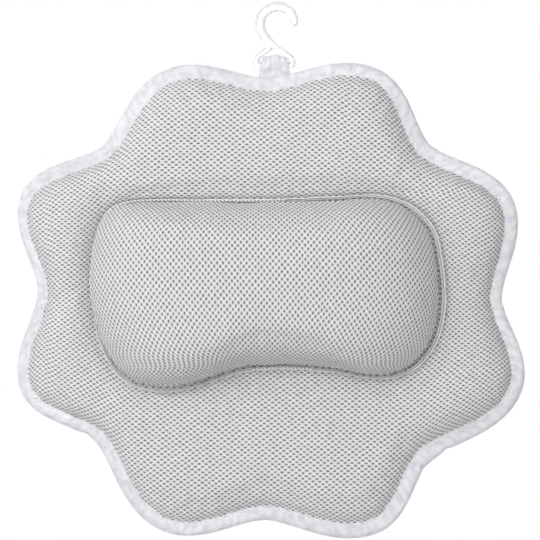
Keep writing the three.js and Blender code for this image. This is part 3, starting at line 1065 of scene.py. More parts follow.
@dataclass(frozen=True)
class Stitch:
    """One stitch of a row: a short thread that dips into the cloth at both ends."""

    length: float = 2.6 * MM
    radius: float = 0.32 * MM
    dip: float = 0.35 * MM
    sides: int = 6

    def row(self, name: str, starts: np.ndarray, along: np.ndarray, out: np.ndarray) -> bpy.types.Object:
        """Lays one stitch at each place.

        Args:
            name: the row's name.
            starts: the stitches' middles on the cloth.
            along: unit vectors that they run along.
            out: unit vectors away from the cloth.
        Returns:
            The row as one piece.
        """
        side = np.cross(along, out)
        shares = np.array([-0.5, -0.3, 0.0, 0.3, 0.5])
        girths = np.array([0.35, 1.0, 1.1, 1.0, 0.35])
        sinks = np.array([1.0, 0.25, 0.0, 0.25, 1.0])
        turns = 2 * math.pi * np.arange(self.sides) / self.sides
        points = []
        for share, girth, sink in zip(shares, girths, sinks):
            middle = starts + along * (share * self.length) + out * (self.radius - sink * self.dip)
            for turn in turns:
                points.append(middle + (side * math.cos(turn) + out * math.sin(turn)) * (girth * self.radius))
        cloud = np.stack(points, 1)
        count, each, _ = cloud.shape
        n = self.sides
        pattern = [
            (k * n + i, k * n + (i + 1) % n, (k + 1) * n + (i + 1) % n, (k + 1) * n + i)
            for k in range(len(shares) - 1)
            for i in range(n)
        ]
        caps = [tuple(range(n))[::-1], tuple(range((len(shares) - 1) * n, len(shares) * n))]
        faces = [tuple(s * each + v for v in face) for s in range(count) for face in pattern + caps]
        obj = mesh_object(name, cloud, faces)
        face_out(obj)
        smooth(obj)
        return obj


def spaced(line: np.ndarray, pitch: float) -> tuple[np.ndarray, np.ndarray]:
    """Even places along a closed line.

    Args:
        line: its points.
        pitch: the wanted spacing, made to fit a whole number.
    Returns:
        The places and the unit vectors along the line there.
    """
    closed = np.vstack([line, line[:1]])
    reach = reaches(closed)
    count = int(round(reach[-1] / pitch))
    at = np.arange(count) * reach[-1] / count
    spots, ahead = (
        np.stack([np.interp(spot, reach, axis) for axis in closed.T], 1)
        for spot in (at, (at + pitch / 2) % reach[-1])
    )
    return spots, unit(ahead - spots)


# Sub-assemblies


@dataclass
class PadShape:
    """Outlines and centres that the mat's pieces share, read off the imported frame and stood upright."""

    lean: Lean
    mat_centre: tuple[float, float] = (0.0, 0.0)
    cushion_centre: tuple[float, float] = (0.0, 0.0)
    cushion_shift: tuple[float, float] = (-5.0 * MM, 3.4 * MM)
    edge_plane: float = -4.05 * MM
    edge: Outline | None = None
    tape_edge: Outline | None = None
    seam: Outline | None = None
    cups: list[tuple[float, float]] = field(default_factory=list)
    # Degrees over which the sewing's distances are smoothed
    blur: int = 12
    # Sewing round the cushion: degrees clockwise from the top, then in millimetres how far the cover bulges
    # inside the seam's outline, where the lip's inner and outer edges lie from it, and the lip's height
    sewing: tuple[tuple[float, float, float, float, float], ...] = (
        (0, 1.3, -2.2, 0.4, 5.2), (20, 1.2, -2.0, 0.6, 5.2), (38, 1.2, -1.2, 1.8, 4.8),
        (52, 1.6, -0.3, 3.1, 4.2), (66, 1.8, -0.1, 3.4, 4.2), (90, 1.4, 0.4, 3.8, 4.2),
        (110, 1.9, 0.0, 3.5, 4.2), (125, 2.2, -0.4, 3.2, 4.2), (140, 1.9, -0.4, 2.8, 4.2),
        (160, 0.4, 0.2, 3.0, 4.4),
        (180, -1.4, 1.6, 4.4, 4.6), (200, 1.6, 0.6, 3.8, 4.0), (220, 2.2, 1.0, 3.9, 4.0),
        (232, 2.2, 0.6, 3.2, 4.0), (240, 1.8, -0.2, 2.2, 4.0), (254, 0.0, -1.0, 1.2, 3.0),
        (264, -0.8, -2.2, -0.5, 2.2), (288, -0.8, -2.2, -0.5, 2.4), (300, 0.6, -1.4, 0.6, 4.0),
        (315, 1.2, -2.0, 0.5, 5.2),
    )

    def node_points(self, node: str) -> np.ndarray:
        """A node's vertices, upright."""
        return self.lean.upright(points_of(frame["nodes"][node]))

    def read(self) -> "PadShape":
        """Finds the centres and the outlines.

        Returns:
            The shape itself.
        """
        turning = [joint["pos_m"] for joint in frame["joints"] if joint["name"].startswith("cup_turn")]
        places = [self.lean.upright(np.array([place]))[0] for place in turning]
        self.cups = [(float(x), float(z)) for x, _, z in places]
        self.mat_centre = tuple(np.mean(self.cups, axis=0))
        binding = self.node_points("edge_binding")
        self.edge_plane = float((binding[:, 1].min() + binding[:, 1].max()) / 2)
        self.edge = Outline.widest(binding[:, [0, 2]], self.mat_centre, 96)
        face = binding[binding[:, 1] < binding[:, 1].min() + 0.05 * MM][:, [0, 2]]
        away = face - np.array(self.mat_centre)
        inner = np.linalg.norm(away, axis=1) < self.edge.radius(turns_at(away)) - 4 * MM
        self.tape_edge = Outline.through(face[inner], self.mat_centre, 96)
        cover = self.node_points("cushion_cover")
        self.cushion_centre = tuple(np.add(self.mat_centre, self.cushion_shift))
        self.seam = Outline.widest(cover[:, [0, 2]], self.cushion_centre, 72)
        return self

    def sewn(self, turns: np.ndarray) -> np.ndarray:
        """Reads the sewing's table at some places.

        Args:
            turns: places round the cushion.
        Returns:
            A row in metres for each of its four distances.
        """
        rows = np.array(self.sewing)
        fine = np.arange(360)
        soft = np.exp(-((np.arange(-self.blur, self.blur + 1) / 5.0) ** 2))
        lines = []
        for column in rows[:, 1:].T:
            values = np.interp(fine, rows[:, 0], column, period=360)
            wrapped = np.concatenate([values[-self.blur :], values, values[: self.blur]])
            values = np.convolve(wrapped, soft / soft.sum(), mode="valid")
            lines.append(np.interp(turns * 360, fine, values, period=360) * MM)
        return np.array(lines)

    def channel_line(self, turns: np.ndarray, margin: float) -> np.ndarray:
        """The line where the mat's front comes down beside the lip, further off where the lip is wide.

        Args:
            turns: places round the mat.
            margin: its least distance from the lip.
        Returns:
            Rows of x and z.
        """
        fine = np.arange(1440) / 1440
        outer = self.sewn(fine)[2]
        outside = self.seam.places(fine, -(outer + margin + 0.25 * np.clip(outer, 0, None)))
        return Outline.through(outside, self.mat_centre, 480).places(turns)

    def place(self, obj: bpy.types.Object, finish: Finish, *nodes: str) -> None:
        """Leans, dresses and hangs a finished piece of the mat.

        Args:
            obj: the piece, upright.
            finish: its finish.
            nodes: the nodes that it stands for.
        """
        self.lean.hang(obj)
        finish.dress(obj)
        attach(obj, "pad")
        if nodes:
            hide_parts(*nodes)
        log.info("%s: %d faces", obj.name, len(obj.data.polygons))


@dataclass
class Mat:
    """The flower-shaped base: air mesh in front and behind, with wadding between."""

    shape: PadShape
    mesh: float = 3.0 * MM
    pressed: float = 1.2 * MM
    crown: float = 13.0 * MM
    channel: float = 7.0 * MM
    channel_margin: float = 0.3 * MM
    edge_half_gap: float = 0.15 * MM
    gap: float = 0.3 * MM
    slot_inset: float = 1.2 * MM
    puff_reach: float = 45 * MM
    roundness: float = 2.4
    slope_reach: float = 5.0 * MM
    groove: float = 2.5 * MM
    hem_reach: float = 5.5 * MM
    back_rise: float = 6.5 * MM
    back_slope: float = 20 * MM
    hole: float = 5.0 * MM
    # Degrees left of the top about which the front rises from the channel in a slope, and in a roll elsewhere
    slope_about: float = 38.0
    # Gathers beside the tape and beside the cushion, as height and how far they run in, and broad swells
    hem_gathers: tuple[float, float] = (0.45 * MM, 9 * MM)
    seam_gathers: tuple[float, float] = (0.35 * MM, 8 * MM)
    sway: float = 0.5 * MM
    # Pocket in the fibre round an eyelet: depth, radius and the width of its slope
    pocket: tuple[float, float, float] = (9.5 * MM, 13 * MM, 3.5 * MM)
    # Rings of the front inside the channel, as shares of the way out, and of the back, as millimetres inside
    # the hem and then as shares
    front_shares: tuple[float, ...] = (0.9, 0.72, 0.48, 0.24)
    back_insets: tuple[float, ...] = (0.8, 1.8, 3.2, 5, 8, 12, 16, 20, 26, 36, 50)
    back_shares: tuple[float, ...] = (0.6, 0.45, 0.3, 0.15)
    back_gathers: float = 0.3 * MM
    tufts: float = 0.3 * MM
    steps: int = 320
    band: int = 30
    grain: Grain = Grain(lean=0.06, fall=0.03, crowding=(0.06, 0.11))

    def turns(self) -> np.ndarray:
        """Places round the mat."""
        return np.arange(self.steps) / self.steps

    def lines(self) -> tuple[np.ndarray, np.ndarray, np.ndarray]:
        """The mat's three lines from the front.

        Returns:
            The channel round the cushion, the hem beside the tape and the cloth's edge in it, as x and z.
        """
        turns = self.turns()
        channel = self.shape.channel_line(turns, self.channel_margin)
        hem = self.shape.tape_edge.places(turns, self.gap)
        return channel, hem, self.shape.edge.places(turns, self.slot_inset)

    def height(self, share: float, width: np.ndarray) -> np.ndarray:
        """How far the front stands before the edge plane.

        It rises in a slope from the channel above and left of the cushion, and in a roll from the rest of
        it. The hem lies between the two, and is steeper on the left.

        Args:
            share: way across the puffed band, 0 at the channel and 1 at the hem.
            width: the band's width at each place.
        Returns:
            The height at each place.
        """
        level = self.channel + (self.pressed + self.edge_half_gap - self.channel) * share
        full = np.minimum(1, np.sqrt(width / self.puff_reach))
        swell = (1 - abs(2 * share - 1) ** self.roundness) ** (1 / self.roundness)
        if share < 0.5:
            from_slope = 2 * math.pi * self.turns() + math.radians(self.slope_about)
            sloped = np.clip(0.5 + 1.2 * np.cos(from_slope), 0, 1)
            reach = self.slope_reach
        else:
            sloped = 0.55 + 0.3 * np.sin(2 * math.pi * self.turns())
            reach = self.hem_reach
        inside = min(share, 1 - share) * width
        slope = (1 - np.exp(-inside / reach)) / (1 - np.exp(-0.5 * width / reach))
        swell = swell + (slope - swell) * sloped
        return level + (self.crown * full - level) * swell

    def front_rings(self, back_by: float = 0.0) -> np.ndarray:
        """Rings of the front from the cloth's edge to the cushion's middle.

        Args:
            back_by: how far behind the outer face to lie.
        Returns:
            Points by ring, place and axis.
        """
        turns = self.turns()
        channel, hem, cut = self.lines()
        plane = self.shape.edge_plane
        edge = self.pressed + self.edge_half_gap
        width = np.linalg.norm(hem - channel, axis=1)
        rings = [raised(cut, plane - edge + back_by), raised(hem, plane - edge + back_by)]
        even = np.linspace(1, 0, self.band)
        crowded = (1 + np.cos(math.pi * np.linspace(0, 1, self.band))) / 2
        gathers = ripple(turns, 11, 60, 130)
        swells = ripple(turns, 12, 5, 16)
        for share in (0.3 * even + 0.7 * crowded)[1:]:
            height = self.height(float(share), width)
            inside = (1 - share) * width
            beside = share * width
            tall, far = self.hem_gathers
            height = height + tall * gathers * np.exp(-inside / far) * (inside > 0.5 * MM)
            tall, far = self.seam_gathers
            height = height + tall * np.roll(gathers, 40) * np.exp(-beside / far) * (beside > TINY)
            height = height + self.sway * swells * math.sin(math.pi * share) ** 2
            if share < TINY:
                height = height - self.groove * np.clip(0.35 + np.cos(2 * math.pi * turns), 0, 1)
            rings.append(raised(channel + (hem - channel) * share, plane - height + back_by))
        middle = np.array(self.shape.mat_centre)
        for share in self.front_shares:
            rings.append(raised(middle + (channel - middle) * share, plane - self.channel + back_by))
        return np.array(rings)

    def front_panel(self) -> None:
        """The front cloth, blown out between the tape and the cushion's seam."""
        rings = self.front_rings()
        obj = ring_mesh("mat_front", rings, Side.FRONT, pole=True)
        ring = np.arange(len(obj.data.vertices)) // self.steps
        inflate(obj, (ring < 2) | (ring >= self.band), reach=2.0 * MM, slack=0.01, pressure=10.0)
        lay_weave(obj, rings.shape[:2], self.shape.mat_centre, self.grain)
        self.thicken(obj)
        self.shape.place(obj, BASE_MESH, "base_front_panel")

    def thicken(self, obj: bpy.types.Object) -> None:
        """Gives a cloth its thickness, pressed thin where the tape holds it.

        Args:
            obj: the cloth, with its edge in the first two rings.
        """
        loft = np.ones(len(obj.data.vertices))
        loft[: 2 * self.steps] = 0.0
        loft[2 * self.steps : 3 * self.steps] = 0.5
        back_up(obj, self.mesh, self.shape.mat_centre, loft, self.pressed / self.mesh)

    def back_level(self, inside: np.ndarray, edge: float, flat: float) -> np.ndarray:
        """How far a surface of the back stands behind the edge plane, at distances inside the hem."""
        share = np.interp(inside / self.back_slope, [0, 0.12, 0.3, 0.6, 1], [0, 0.5, 0.8, 0.95, 1])
        return edge + (flat - edge) * share

    def back_panel(self) -> None:
        """The back cloth, flat but for its rounded edge, with a hole for each suction cup."""
        _, hem, cut = self.lines()
        middle = np.array(self.shape.mat_centre)
        reach = np.linalg.norm(hem - middle, axis=1)
        plane = self.shape.edge_plane
        edge = self.pressed + self.edge_half_gap
        gathers = ripple(self.turns(), 21, 60, 130)
        rings = [raised(cut, plane + edge), raised(hem, plane + edge)]
        for inside in self.back_insets:
            level = self.back_level(np.full(self.steps, inside * MM), edge, self.back_rise)
            level = level - self.back_gathers * (gathers + 1.5) * math.exp(-inside / 9) * (inside > 1)
            places = middle + (hem - middle) * (1 - inside * MM / reach)[:, None]
            rings.append(raised(places, plane + level))
        for share in self.back_shares:
            rings.append(raised(middle + (hem - middle) * share, plane + self.back_rise))
        points = np.array(rings)
        obj = ring_mesh("mat_back", points, Side.BACK, pole=True)
        lay_weave(obj, points.shape[:2], self.shape.mat_centre, Grain())
        self.thicken(obj)
        for x, z in self.shape.cups:
            bpy.ops.mesh.primitive_cylinder_add(
                vertices=48, radius=self.hole, depth=30 * MM, location=(x, plane + self.back_rise, z),
                rotation=(math.pi / 2, 0, 0),
            )
            punch = bpy.context.object
            apply_modifier(obj, "BOOLEAN", object=punch, operation="DIFFERENCE", solver="EXACT")
            bpy.data.objects.remove(punch)
        smooth(obj, 50)
        self.shape.place(obj, BASE_MESH, "base_back_panel")

    def wadding(self) -> None:
        """The fibre between the two cloths, pressed forwards round each eyelet."""
        front = self.front_rings(self.mesh + self.gap)[2:]
        deep, wide, slope = self.pocket
        plane = self.shape.edge_plane
        _, hem, _ = self.lines()
        middle = np.array(self.shape.mat_centre)
        reach = np.linalg.norm(hem - middle, axis=1)
        back = front[::-1].copy()
        flat = self.back_rise - self.mesh
        for ring in back:
            inside = reach - np.linalg.norm(ring[:, [0, 2]] - middle, axis=1)
            level = self.back_level(inside, self.edge_half_gap, flat) - self.gap
            ring[:, 1] = plane + level
            for x, z in self.shape.cups:
                away = np.hypot(ring[:, 0] - x, ring[:, 2] - z)
                ring[:, 1] -= deep * np.clip((wide - away) / slope, 0, 1)
        front[2:, :, 1] += np.abs(self.tufts * ripple(self.turns(), 31, 20, 60))
        rings = np.concatenate([back[4:], front[: len(front) - 4]])
        thin = rings[rings.shape[0] // 2 :, :, 1]
        np.minimum(thin, plane + 0.5 * MM, out=thin)
        obj = ring_mesh("mat_wadding", rings, Side.FRONT, looped=True)
        face_out(obj)
        self.shape.place(obj, WADDING, "base_filling")

    def build(self) -> None:
        """Makes the three layers."""
        self.front_panel()
        self.wadding()
        self.back_panel()


@dataclass
class EdgeTape:
    """White tape folded round the mat's edge, gathered on the curves and sewn through near its inner edge."""

    shape: PadShape
    steps: int = 720
    # Gathers, broad waves, and how far the inner edge wanders
    gathers: float = 0.16 * MM
    waves: float = 0.12 * MM
    wander: float = 0.25 * MM
    stitch: Stitch = Stitch(radius=0.4 * MM)
    stitch_inset: float = 1.9 * MM
    stitch_height: float = 2.5 * MM
    pitch: float = 3.5 * MM
    # Pleats: angle clockwise from the top, width in degrees, height
    pleats: tuple[tuple[float, float, float], ...] = (
        (130.9, 0.7, 1.0 * MM), (138.5, 0.7, 0.8 * MM), (238.8, 1.0, 0.9 * MM), (242.5, 1.1, 0.8 * MM),
        (233.0, 0.9, 0.8 * MM), (236.0, 0.8, 0.5 * MM), (46.0, 0.8, 0.5 * MM), (181.0, 0.9, 0.5 * MM),
        (271.0, 0.8, 0.45 * MM), (312.0, 0.8, 0.5 * MM), (359.0, 0.8, 0.35 * MM), (91.0, 0.8, 0.45 * MM),
    )
    # Kinks of the fold, where the tape turns a corner: angle, width in degrees, how far out
    kinks: tuple[tuple[float, float, float], ...] = (
        (130.9, 0.9, -1.3 * MM), (134.6, 2.2, 0.9 * MM), (138.5, 0.8, -0.8 * MM), (233.6, 0.9, -0.9 * MM),
        (236.0, 1.2, 0.6 * MM), (46.0, 1.0, -0.5 * MM), (312.0, 1.0, -0.5 * MM), (91.0, 1.0, -0.4 * MM),
        (181.0, 1.2, -0.4 * MM),
    )

    def section(self) -> list[tuple[float, float, float]]:
        """The folded section, once round.

        Returns:
            Rows of share of the width, distance from the fold and height, the last two in millimetres.
        """
        skin = [
            (1.0, 0.0, 2.3), (1.0, -0.5, 2.75), (1.0, -1.25, 2.85), (1.0, -1.9, 2.45), (1.0, -2.6, 2.9),
            (0.45, 0.0, 3.0), (0.0, 2.9, 2.75), (0.0, 1.7, 2.1), (0.0, 0.5, 1.15), (0.0, 0.08, 0.5),
        ]
        lining = [(1.0, 0.0, 1.6), (0.5, 0.0, 1.7), (0.0, 2.2, 1.6), (0.0, 1.3, 0.9)]
        rows = [(share, inset, -height) for share, inset, height in skin]
        rows += [(0.0, 0.0, 0.0)]
        rows += [(share, inset, height) for share, inset, height in reversed(skin)]
        rows += [(share, inset, height) for share, inset, height in lining]
        rows += [(0.0, 1.0, 0.0)]
        rows += [(share, inset, -height) for share, inset, height in reversed(lining)]
        return rows

    def lift(self, turns: np.ndarray) -> np.ndarray:
        """How far gathers and pleats raise the tape.

        Args:
            turns: places round it.
        Returns:
            The rise at each.
        """
        total = self.gathers * ripple(turns, 41, 70, 190, 12) + self.waves * ripple(turns, 42, 12, 40)
        for degrees, width, height in self.pleats:
            total = total + height * near_turn(turns, degrees, width)
            total = total - 0.5 * height * near_turn(turns, degrees + 1.9 * width, width)
        return total

    def frame_lines(self) -> tuple[np.ndarray, np.ndarray, np.ndarray, np.ndarray]:
        """Lays out the tape from the front.

        Returns:
            Places round it, in turns, and at each the fold's x and z, the unit vector inwards and the width.
        """
        turns = np.arange(self.steps) / self.steps
        out = sum(push * near_turn(turns, degrees, width) for degrees, width, push in self.kinks)
        outer = self.shape.edge.places(turns, -out)
        inner = self.shape.tape_edge.places(turns, self.wander * ripple(turns, 43, 20, 90))
        inward = inner - outer
        width = np.linalg.norm(inward, axis=1)
        return turns, outer, inward / width[:, None], width

    def band(self) -> None:
        """The folded tape."""
        turns, outer, inward, width = self.frame_lines()
        lift = self.lift(turns)
        rings = []
        for share, inset, height in self.section():
            across = width * share + inset * MM
            share_lifted = math.copysign(1, height) * min(1, abs(height) / 2)
            flutter = lift * share_lifted * np.clip(across / (3 * MM), 0.15, 1)
            places = outer + inward * across[:, None]
            rings.append(raised(places, self.shape.edge_plane + height * MM + flutter))
        points = np.array(rings)
        across = reaches(np.vstack([points[:, 0], points[:1, 0]]))
        obj = ring_mesh("edge_tape", points, Side.FRONT, looped=True, across=across)
        face_out(obj, merged=False)
        subdivide(obj)
        self.shape.place(obj, TAPE, "edge_binding")

    def stitching(self, side: Side) -> None:
        """A row of stitches near the tape's inner edge.

        Args:
            side: the side that they lie on.
        """
        turns, outer, inward, width = self.frame_lines()
        height = self.stitch_height * side.value
        lift = self.lift(turns) * side.value
        places = outer + inward * (width - self.stitch_inset)[:, None]
        line = raised(places, self.shape.edge_plane + height + lift)
        spots, along = spaced(line, self.pitch)
        out = np.broadcast_to(np.array([0.0, float(side.value), 0.0]), along.shape)
        name = "tape_stitches_" + side.name.lower()
        self.shape.place(self.stitch.row(name, spots, along, out), THREAD)

    def build(self) -> None:
        """Makes the tape and its stitches on both sides."""
        self.band()
        self.stitching(Side.FRONT)
        self.stitching(Side.BACK)


@dataclass
class HeadCushion:
    """The raised kidney-shaped cushion: a cover of turned air mesh over fibre, sewn down on its lip."""

    shape: PadShape
    rise: float = 50 * MM
    foot: float = 9.2 * MM
    mesh: float = 3.0 * MM
    gap: float = 0.3 * MM
    channel: float = 7.0 * MM
    swell: float = 0.6 * MM
    lip_tuck: float = 3.0 * MM
    # Puckers along the seam and broad waves beside it: height, and how far they run in
    puckers: tuple[float, float] = (0.5 * MM, 9 * MM)
    broad_waves: tuple[float, float] = (0.5 * MM, 30 * MM)
    backing_cloth: float = 0.8 * MM
    backing_room: float = 1.0 * MM
    backing_waves: float = 0.12 * MM
    tufts: float = 0.4 * MM
    lip_wander: float = 0.15 * MM
    lip_curl: float = 0.2 * MM
    # Overlock: its stitch, its slant in degrees and where it shows, in degrees from the top
    overlock_stitch: Stitch = Stitch(length=2.9 * MM, radius=0.62 * MM, dip=0.9 * MM)
    overlock_slant: float = 35.0
    stitched: tuple[tuple[float, float], ...] = ((-64, 12), (148, 180), (-180, -172))
    steps: int = 256
    rings: int = 30
    grain: Grain = Grain(fall=0.04, bow=0.56, fan=1.0, waist=24.0)
    # Section from the seam, which it hangs over, to the crown: share of the way out, share of the rise
    crown: tuple[tuple[float, float], ...] = (
        (0.955, 0.0), (0.982, 0.09), (1.0, 0.2), (0.994, 0.25), (0.98, 0.3), (0.955, 0.39), (0.92, 0.5),
        (0.87, 0.63), (0.81, 0.74), (0.72, 0.84), (0.6, 0.915), (0.48, 0.955), (0.35, 0.978), (0.18, 0.994),
        (0.05, 1.0),
    )
    # Section of the lip's two cut edges: share of its width, share of its height
    lip_section: tuple[tuple[float, float], ...] = (
        (0.05, 0.2), (0.0, 0.5), (0.1, 0.66), (0.3, 0.68), (0.38, 0.6), (0.41, 0.1), (0.51, 0.1), (0.54, 0.9),
        (0.7, 1.0), (0.88, 0.98), (0.98, 0.85), (1.0, 0.6), (0.9, 0.15), (0.8, 0.0), (0.5, 0.0), (0.1, 0.0),
    )

    def turns(self) -> np.ndarray:
        """Places round the cushion."""
        return np.arange(self.steps) / self.steps

    def mat_level(self) -> float:
        """Where a piece lies that rests on the mat's front."""
        return self.shape.edge_plane - self.channel - self.gap

    def dome(self, inset: np.ndarray | float, rise: float, foot: float, rings: int) -> np.ndarray:
        """Rings of a dome inside the seam.

        Args:
            inset: distance inside the seam.
            rise: its crown above its foot.
            foot: its foot before the edge plane.
            rings: how many rings.
        Returns:
            Points by ring, place and axis.
        """
        turns = self.turns()
        middle = np.array(self.shape.cushion_centre)
        outline = self.shape.seam.places(turns, inset) - middle
        profile = smooth_path(self.crown, rings, 0.25)
        return np.array([
            raised(middle + outline * out, self.shape.edge_plane - foot - up * rise) for out, up in profile
        ])

    def cover(self) -> None:
        """The cover, blown out from its seam and puckered along it."""
        turns = self.turns()
        inset = self.shape.sewn(turns)[0] + self.swell
        rings = self.dome(inset, self.rise - self.swell, self.foot, self.rings)
        middle = np.array(self.shape.cushion_centre)
        waves = [(ripple(turns, 51, 40, 95), *self.puckers), (ripple(turns, 52, 6, 15), *self.broad_waves)]
        for k, ring in enumerate(rings):
            depth = np.linalg.norm(ring - rings[0], axis=1)
            push = sum(tall * wave * np.exp(-depth / far) * min(1, k / 3) for wave, tall, far in waves)
            ring[:, [0, 2]] += unit(ring[:, [0, 2]] - middle) * push[:, None]
            ring[:, 1] -= 0.5 * push
        obj = ring_mesh("cushion_cover_mesh", rings, Side.FRONT, pole=True)
        ring_number = np.arange(len(obj.data.vertices)) // self.steps
        inflate(obj, ring_number < 2, reach=1.6 * MM, slack=0.01, pressure=20.0)
        points = points_of(obj)[: self.rings * self.steps].reshape(self.rings, self.steps, 3)
        spans = np.linalg.norm(points[:, :, [0, 2]] - middle, axis=2).mean(1)
        lay_weave(obj, rings.shape[:2], self.shape.cushion_centre, self.grain, tucked=int(np.argmax(spans)))
        back_up(obj, self.mesh, self.shape.cushion_centre)
        self.shape.place(obj, CUSHION_MESH, "cushion_cover")

    def wadding(self) -> None:
        """The fibre under the cover."""
        under = self.mesh + 2 * self.gap
        inset = self.shape.sewn(self.turns())[0] + self.swell + under
        foot = self.channel + 4 * self.gap + self.backing_room
        rings = self.dome(inset, self.foot + self.rise - self.swell - under - foot, foot, 16)
        base = rings[:1].copy()
        middle = np.array(self.shape.cushion_centre)
        base[0][:, [0, 2]] = middle + (base[0][:, [0, 2]] - middle) * 0.5
        rings[3:-1, :, 1] += np.abs(self.tufts * ripple(self.turns(), 61, 12, 40)) + 0.5 * MM
        obj = ring_mesh("cushion_wadding", np.concatenate([base, rings]), Side.FRONT, pole=True)
        activate(obj)
        bpy.ops.object.mode_set(mode="EDIT")
        cap_openings()
        bpy.ops.object.mode_set(mode="OBJECT")
        face_out(obj)
        self.shape.place(obj, WADDING, "cushion_filling")

    def backing(self) -> None:
        """The plain cloth that closes the cushion behind."""
        turns = self.turns()
        middle = np.array(self.shape.cushion_centre)
        edge = self.shape.seam.places(turns, self.lip_tuck + self.gap) - middle
        front = self.mat_level() - self.backing_room
        waves = self.backing_waves * ripple(turns, 71, 8, 20)
        rings = np.array([
            raised(middle + edge * share, front + np.abs(waves) * math.sin(math.pi * share))
            for share in (1.0, 0.96, 0.8, 0.6, 0.4, 0.2)
        ])
        obj = ring_mesh("cushion_backing_cloth", rings, Side.FRONT, pole=True)
        apply_modifier(obj, "SOLIDIFY", thickness=self.backing_cloth, offset=-1.0)
        self.shape.place(obj, CLOTH, "cushion_backing")

    def lip(self) -> None:
        """The seam allowance round the cushion: two cut edges side by side, which stand off the mat."""
        steps = 480
        turns = np.arange(steps) / steps
        _, inner, outer, tall = self.shape.sewn(turns)
        outer = outer + self.lip_wander * ripple(turns, 81, 15, 60)
        curl = self.lip_curl * ripple(turns, 82, 12, 50)
        rings = []
        for share, height in self.lip_section:
            places = self.shape.seam.places(turns, -(inner + (outer - inner) * share))
            rings.append(raised(places, self.mat_level() - (tall + curl) * height))
        obj = ring_mesh("cushion_lip", np.array(rings), Side.FRONT, looped=True)
        face_out(obj)
        subdivide(obj)
        self.shape.place(obj, CLOTH, "cushion_seam_lip")

    def overlock(self) -> None:
        """Overlock stitches slanted across the lip, where the seam is turned so that they show."""
        turns = np.arange(1440) / 1440
        _, inner, outer, tall = self.shape.sewn(turns)
        top = self.mat_level() - tall - 0.2 * MM
        line = raised(self.shape.seam.places(turns, -0.5 * (inner + outer)), top)
        spots, along = spaced(line, self.overlock_stitch.length)
        away = spots[:, [0, 2]] - np.array(self.shape.cushion_centre)
        degrees = np.degrees(np.arctan2(away[:, 0], away[:, 1]))
        shown = np.zeros(len(spots), bool)
        for low, high in self.stitched:
            shown |= (degrees > low) & (degrees < high)
        spots, along = spots[shown], along[shown]
        out = np.broadcast_to(np.array([0.0, -1.0, 0.0]), along.shape)
        slant = math.radians(self.overlock_slant)
        turned = along * math.cos(slant) + np.cross(along, out) * math.sin(slant)
        self.shape.place(self.overlock_stitch.row("lip_overlock", spots, turned, out), SEAM_THREAD)

    def build(self) -> None:
        """Makes the cushion from the outside in."""
        self.cover()
        self.lip()
        self.overlock()
        self.wadding()
        self.backing()


@dataclass
class HangingTab:
    """The strap folded round the hook's bar and sewn behind the edge tape, drawn together at the fold."""

    shape: PadShape
    strap: float = 1.2 * MM
    fold_half_width: float = 11.0 * MM
    half_width: float = 12.2 * MM
    eye: float = 2.6 * MM
    shift: float = 0.1 * MM
    # How much narrower and how much higher in its middle the fold's top is, and how deep the gathers are
    draw_in: float = 1.8 * MM
    hump: float = 1.9 * MM
    gather: float = 0.35 * MM
    # Heights from the bar where the strap starts to narrow, over how much it does, and of the fold's top
    narrow_from: float = -8.5 * MM
    narrow_over: float = 5.5 * MM
    fold_top: float = 5.6 * MM
    columns: int = 36
    # Outer face from the front's foot over the bar to the back's foot, as y and z in millimetres
    outer_face: tuple[tuple[float, float], ...] = (
        (-1.5, -20.3), (-1.5, -14.0), (-1.55, -9.0), (-2.1, -6.2), (-3.4, -3.2), (-3.9, -0.4), (-3.5, 2.4),
        (-2.3, 4.6), (0.0, 5.6), (2.3, 4.6), (3.5, 2.4), (3.9, -0.4), (3.4, -3.2), (2.1, -6.2), (1.55, -9.0),
        (1.5, -14.0), (1.5, -20.3),
    )

    def path(self) -> np.ndarray:
        """The outer face as a smooth line of y and z, scaled to the strap's thickness."""
        scale = (self.eye + self.strap) / (3.8 * MM)
        return smooth_path([(y * scale * MM, z * MM) for y, z in self.outer_face], 72)

    def build(self) -> None:
        """Sweeps the path across the strap, draws the fold together and gives it gathers."""
        path = self.path()
        pivot = self.shape.lean.pivot
        shares = np.linspace(-1, 1, self.columns)
        high = np.clip((path[:, 1] - self.narrow_from) / self.narrow_over, 0, 1)
        half = self.half_width + (self.fold_half_width - self.half_width) * high**1.3
        crush = np.clip(path[:, 1] / self.fold_top, 0, 1)
        half = half - self.draw_in * crush
        points = []
        for share in shares:
            gather = math.sin(share * 9.0 + 0.6) + 0.6 * math.sin(share * 17.0 + 2.0)
            depth = self.gather * gather * np.clip((path[:, 1] + 12 * MM) / (10 * MM), 0, 1)
            hump = self.hump * crush * (1 - share**2) + 0.5 * MM * crush * math.sin(share * 6 + 1)
            y = path[:, 0] + np.sign(path[:, 0]) * np.clip(depth, -0.3 * MM, 1 * MM)
            x = pivot[0] + self.shift + share * half
            points.append(np.stack([x, pivot[1] + y, pivot[2] + path[:, 1] + hump], 1))
        grid = np.array(points)
        count, length, _ = grid.shape
        faces = [
            (n * length + i, (n + 1) * length + i, (n + 1) * length + i + 1, n * length + i + 1)
            for n in range(count - 1)
            for i in range(length - 1)
        ]
        obj = mesh_object("hanging_strap", grid, faces)
        along = reaches(path)
        places = [(along[v % length], shares[v // length] * self.half_width) for face in faces for v in face]
        set_weave(obj, np.array(places))
        smooth(obj)
        apply_modifier(obj, "SOLIDIFY", thickness=self.strap, offset=-1.0)
        subdivide(obj)
        self.shape.place(obj, TAPE, "hanging_tab")


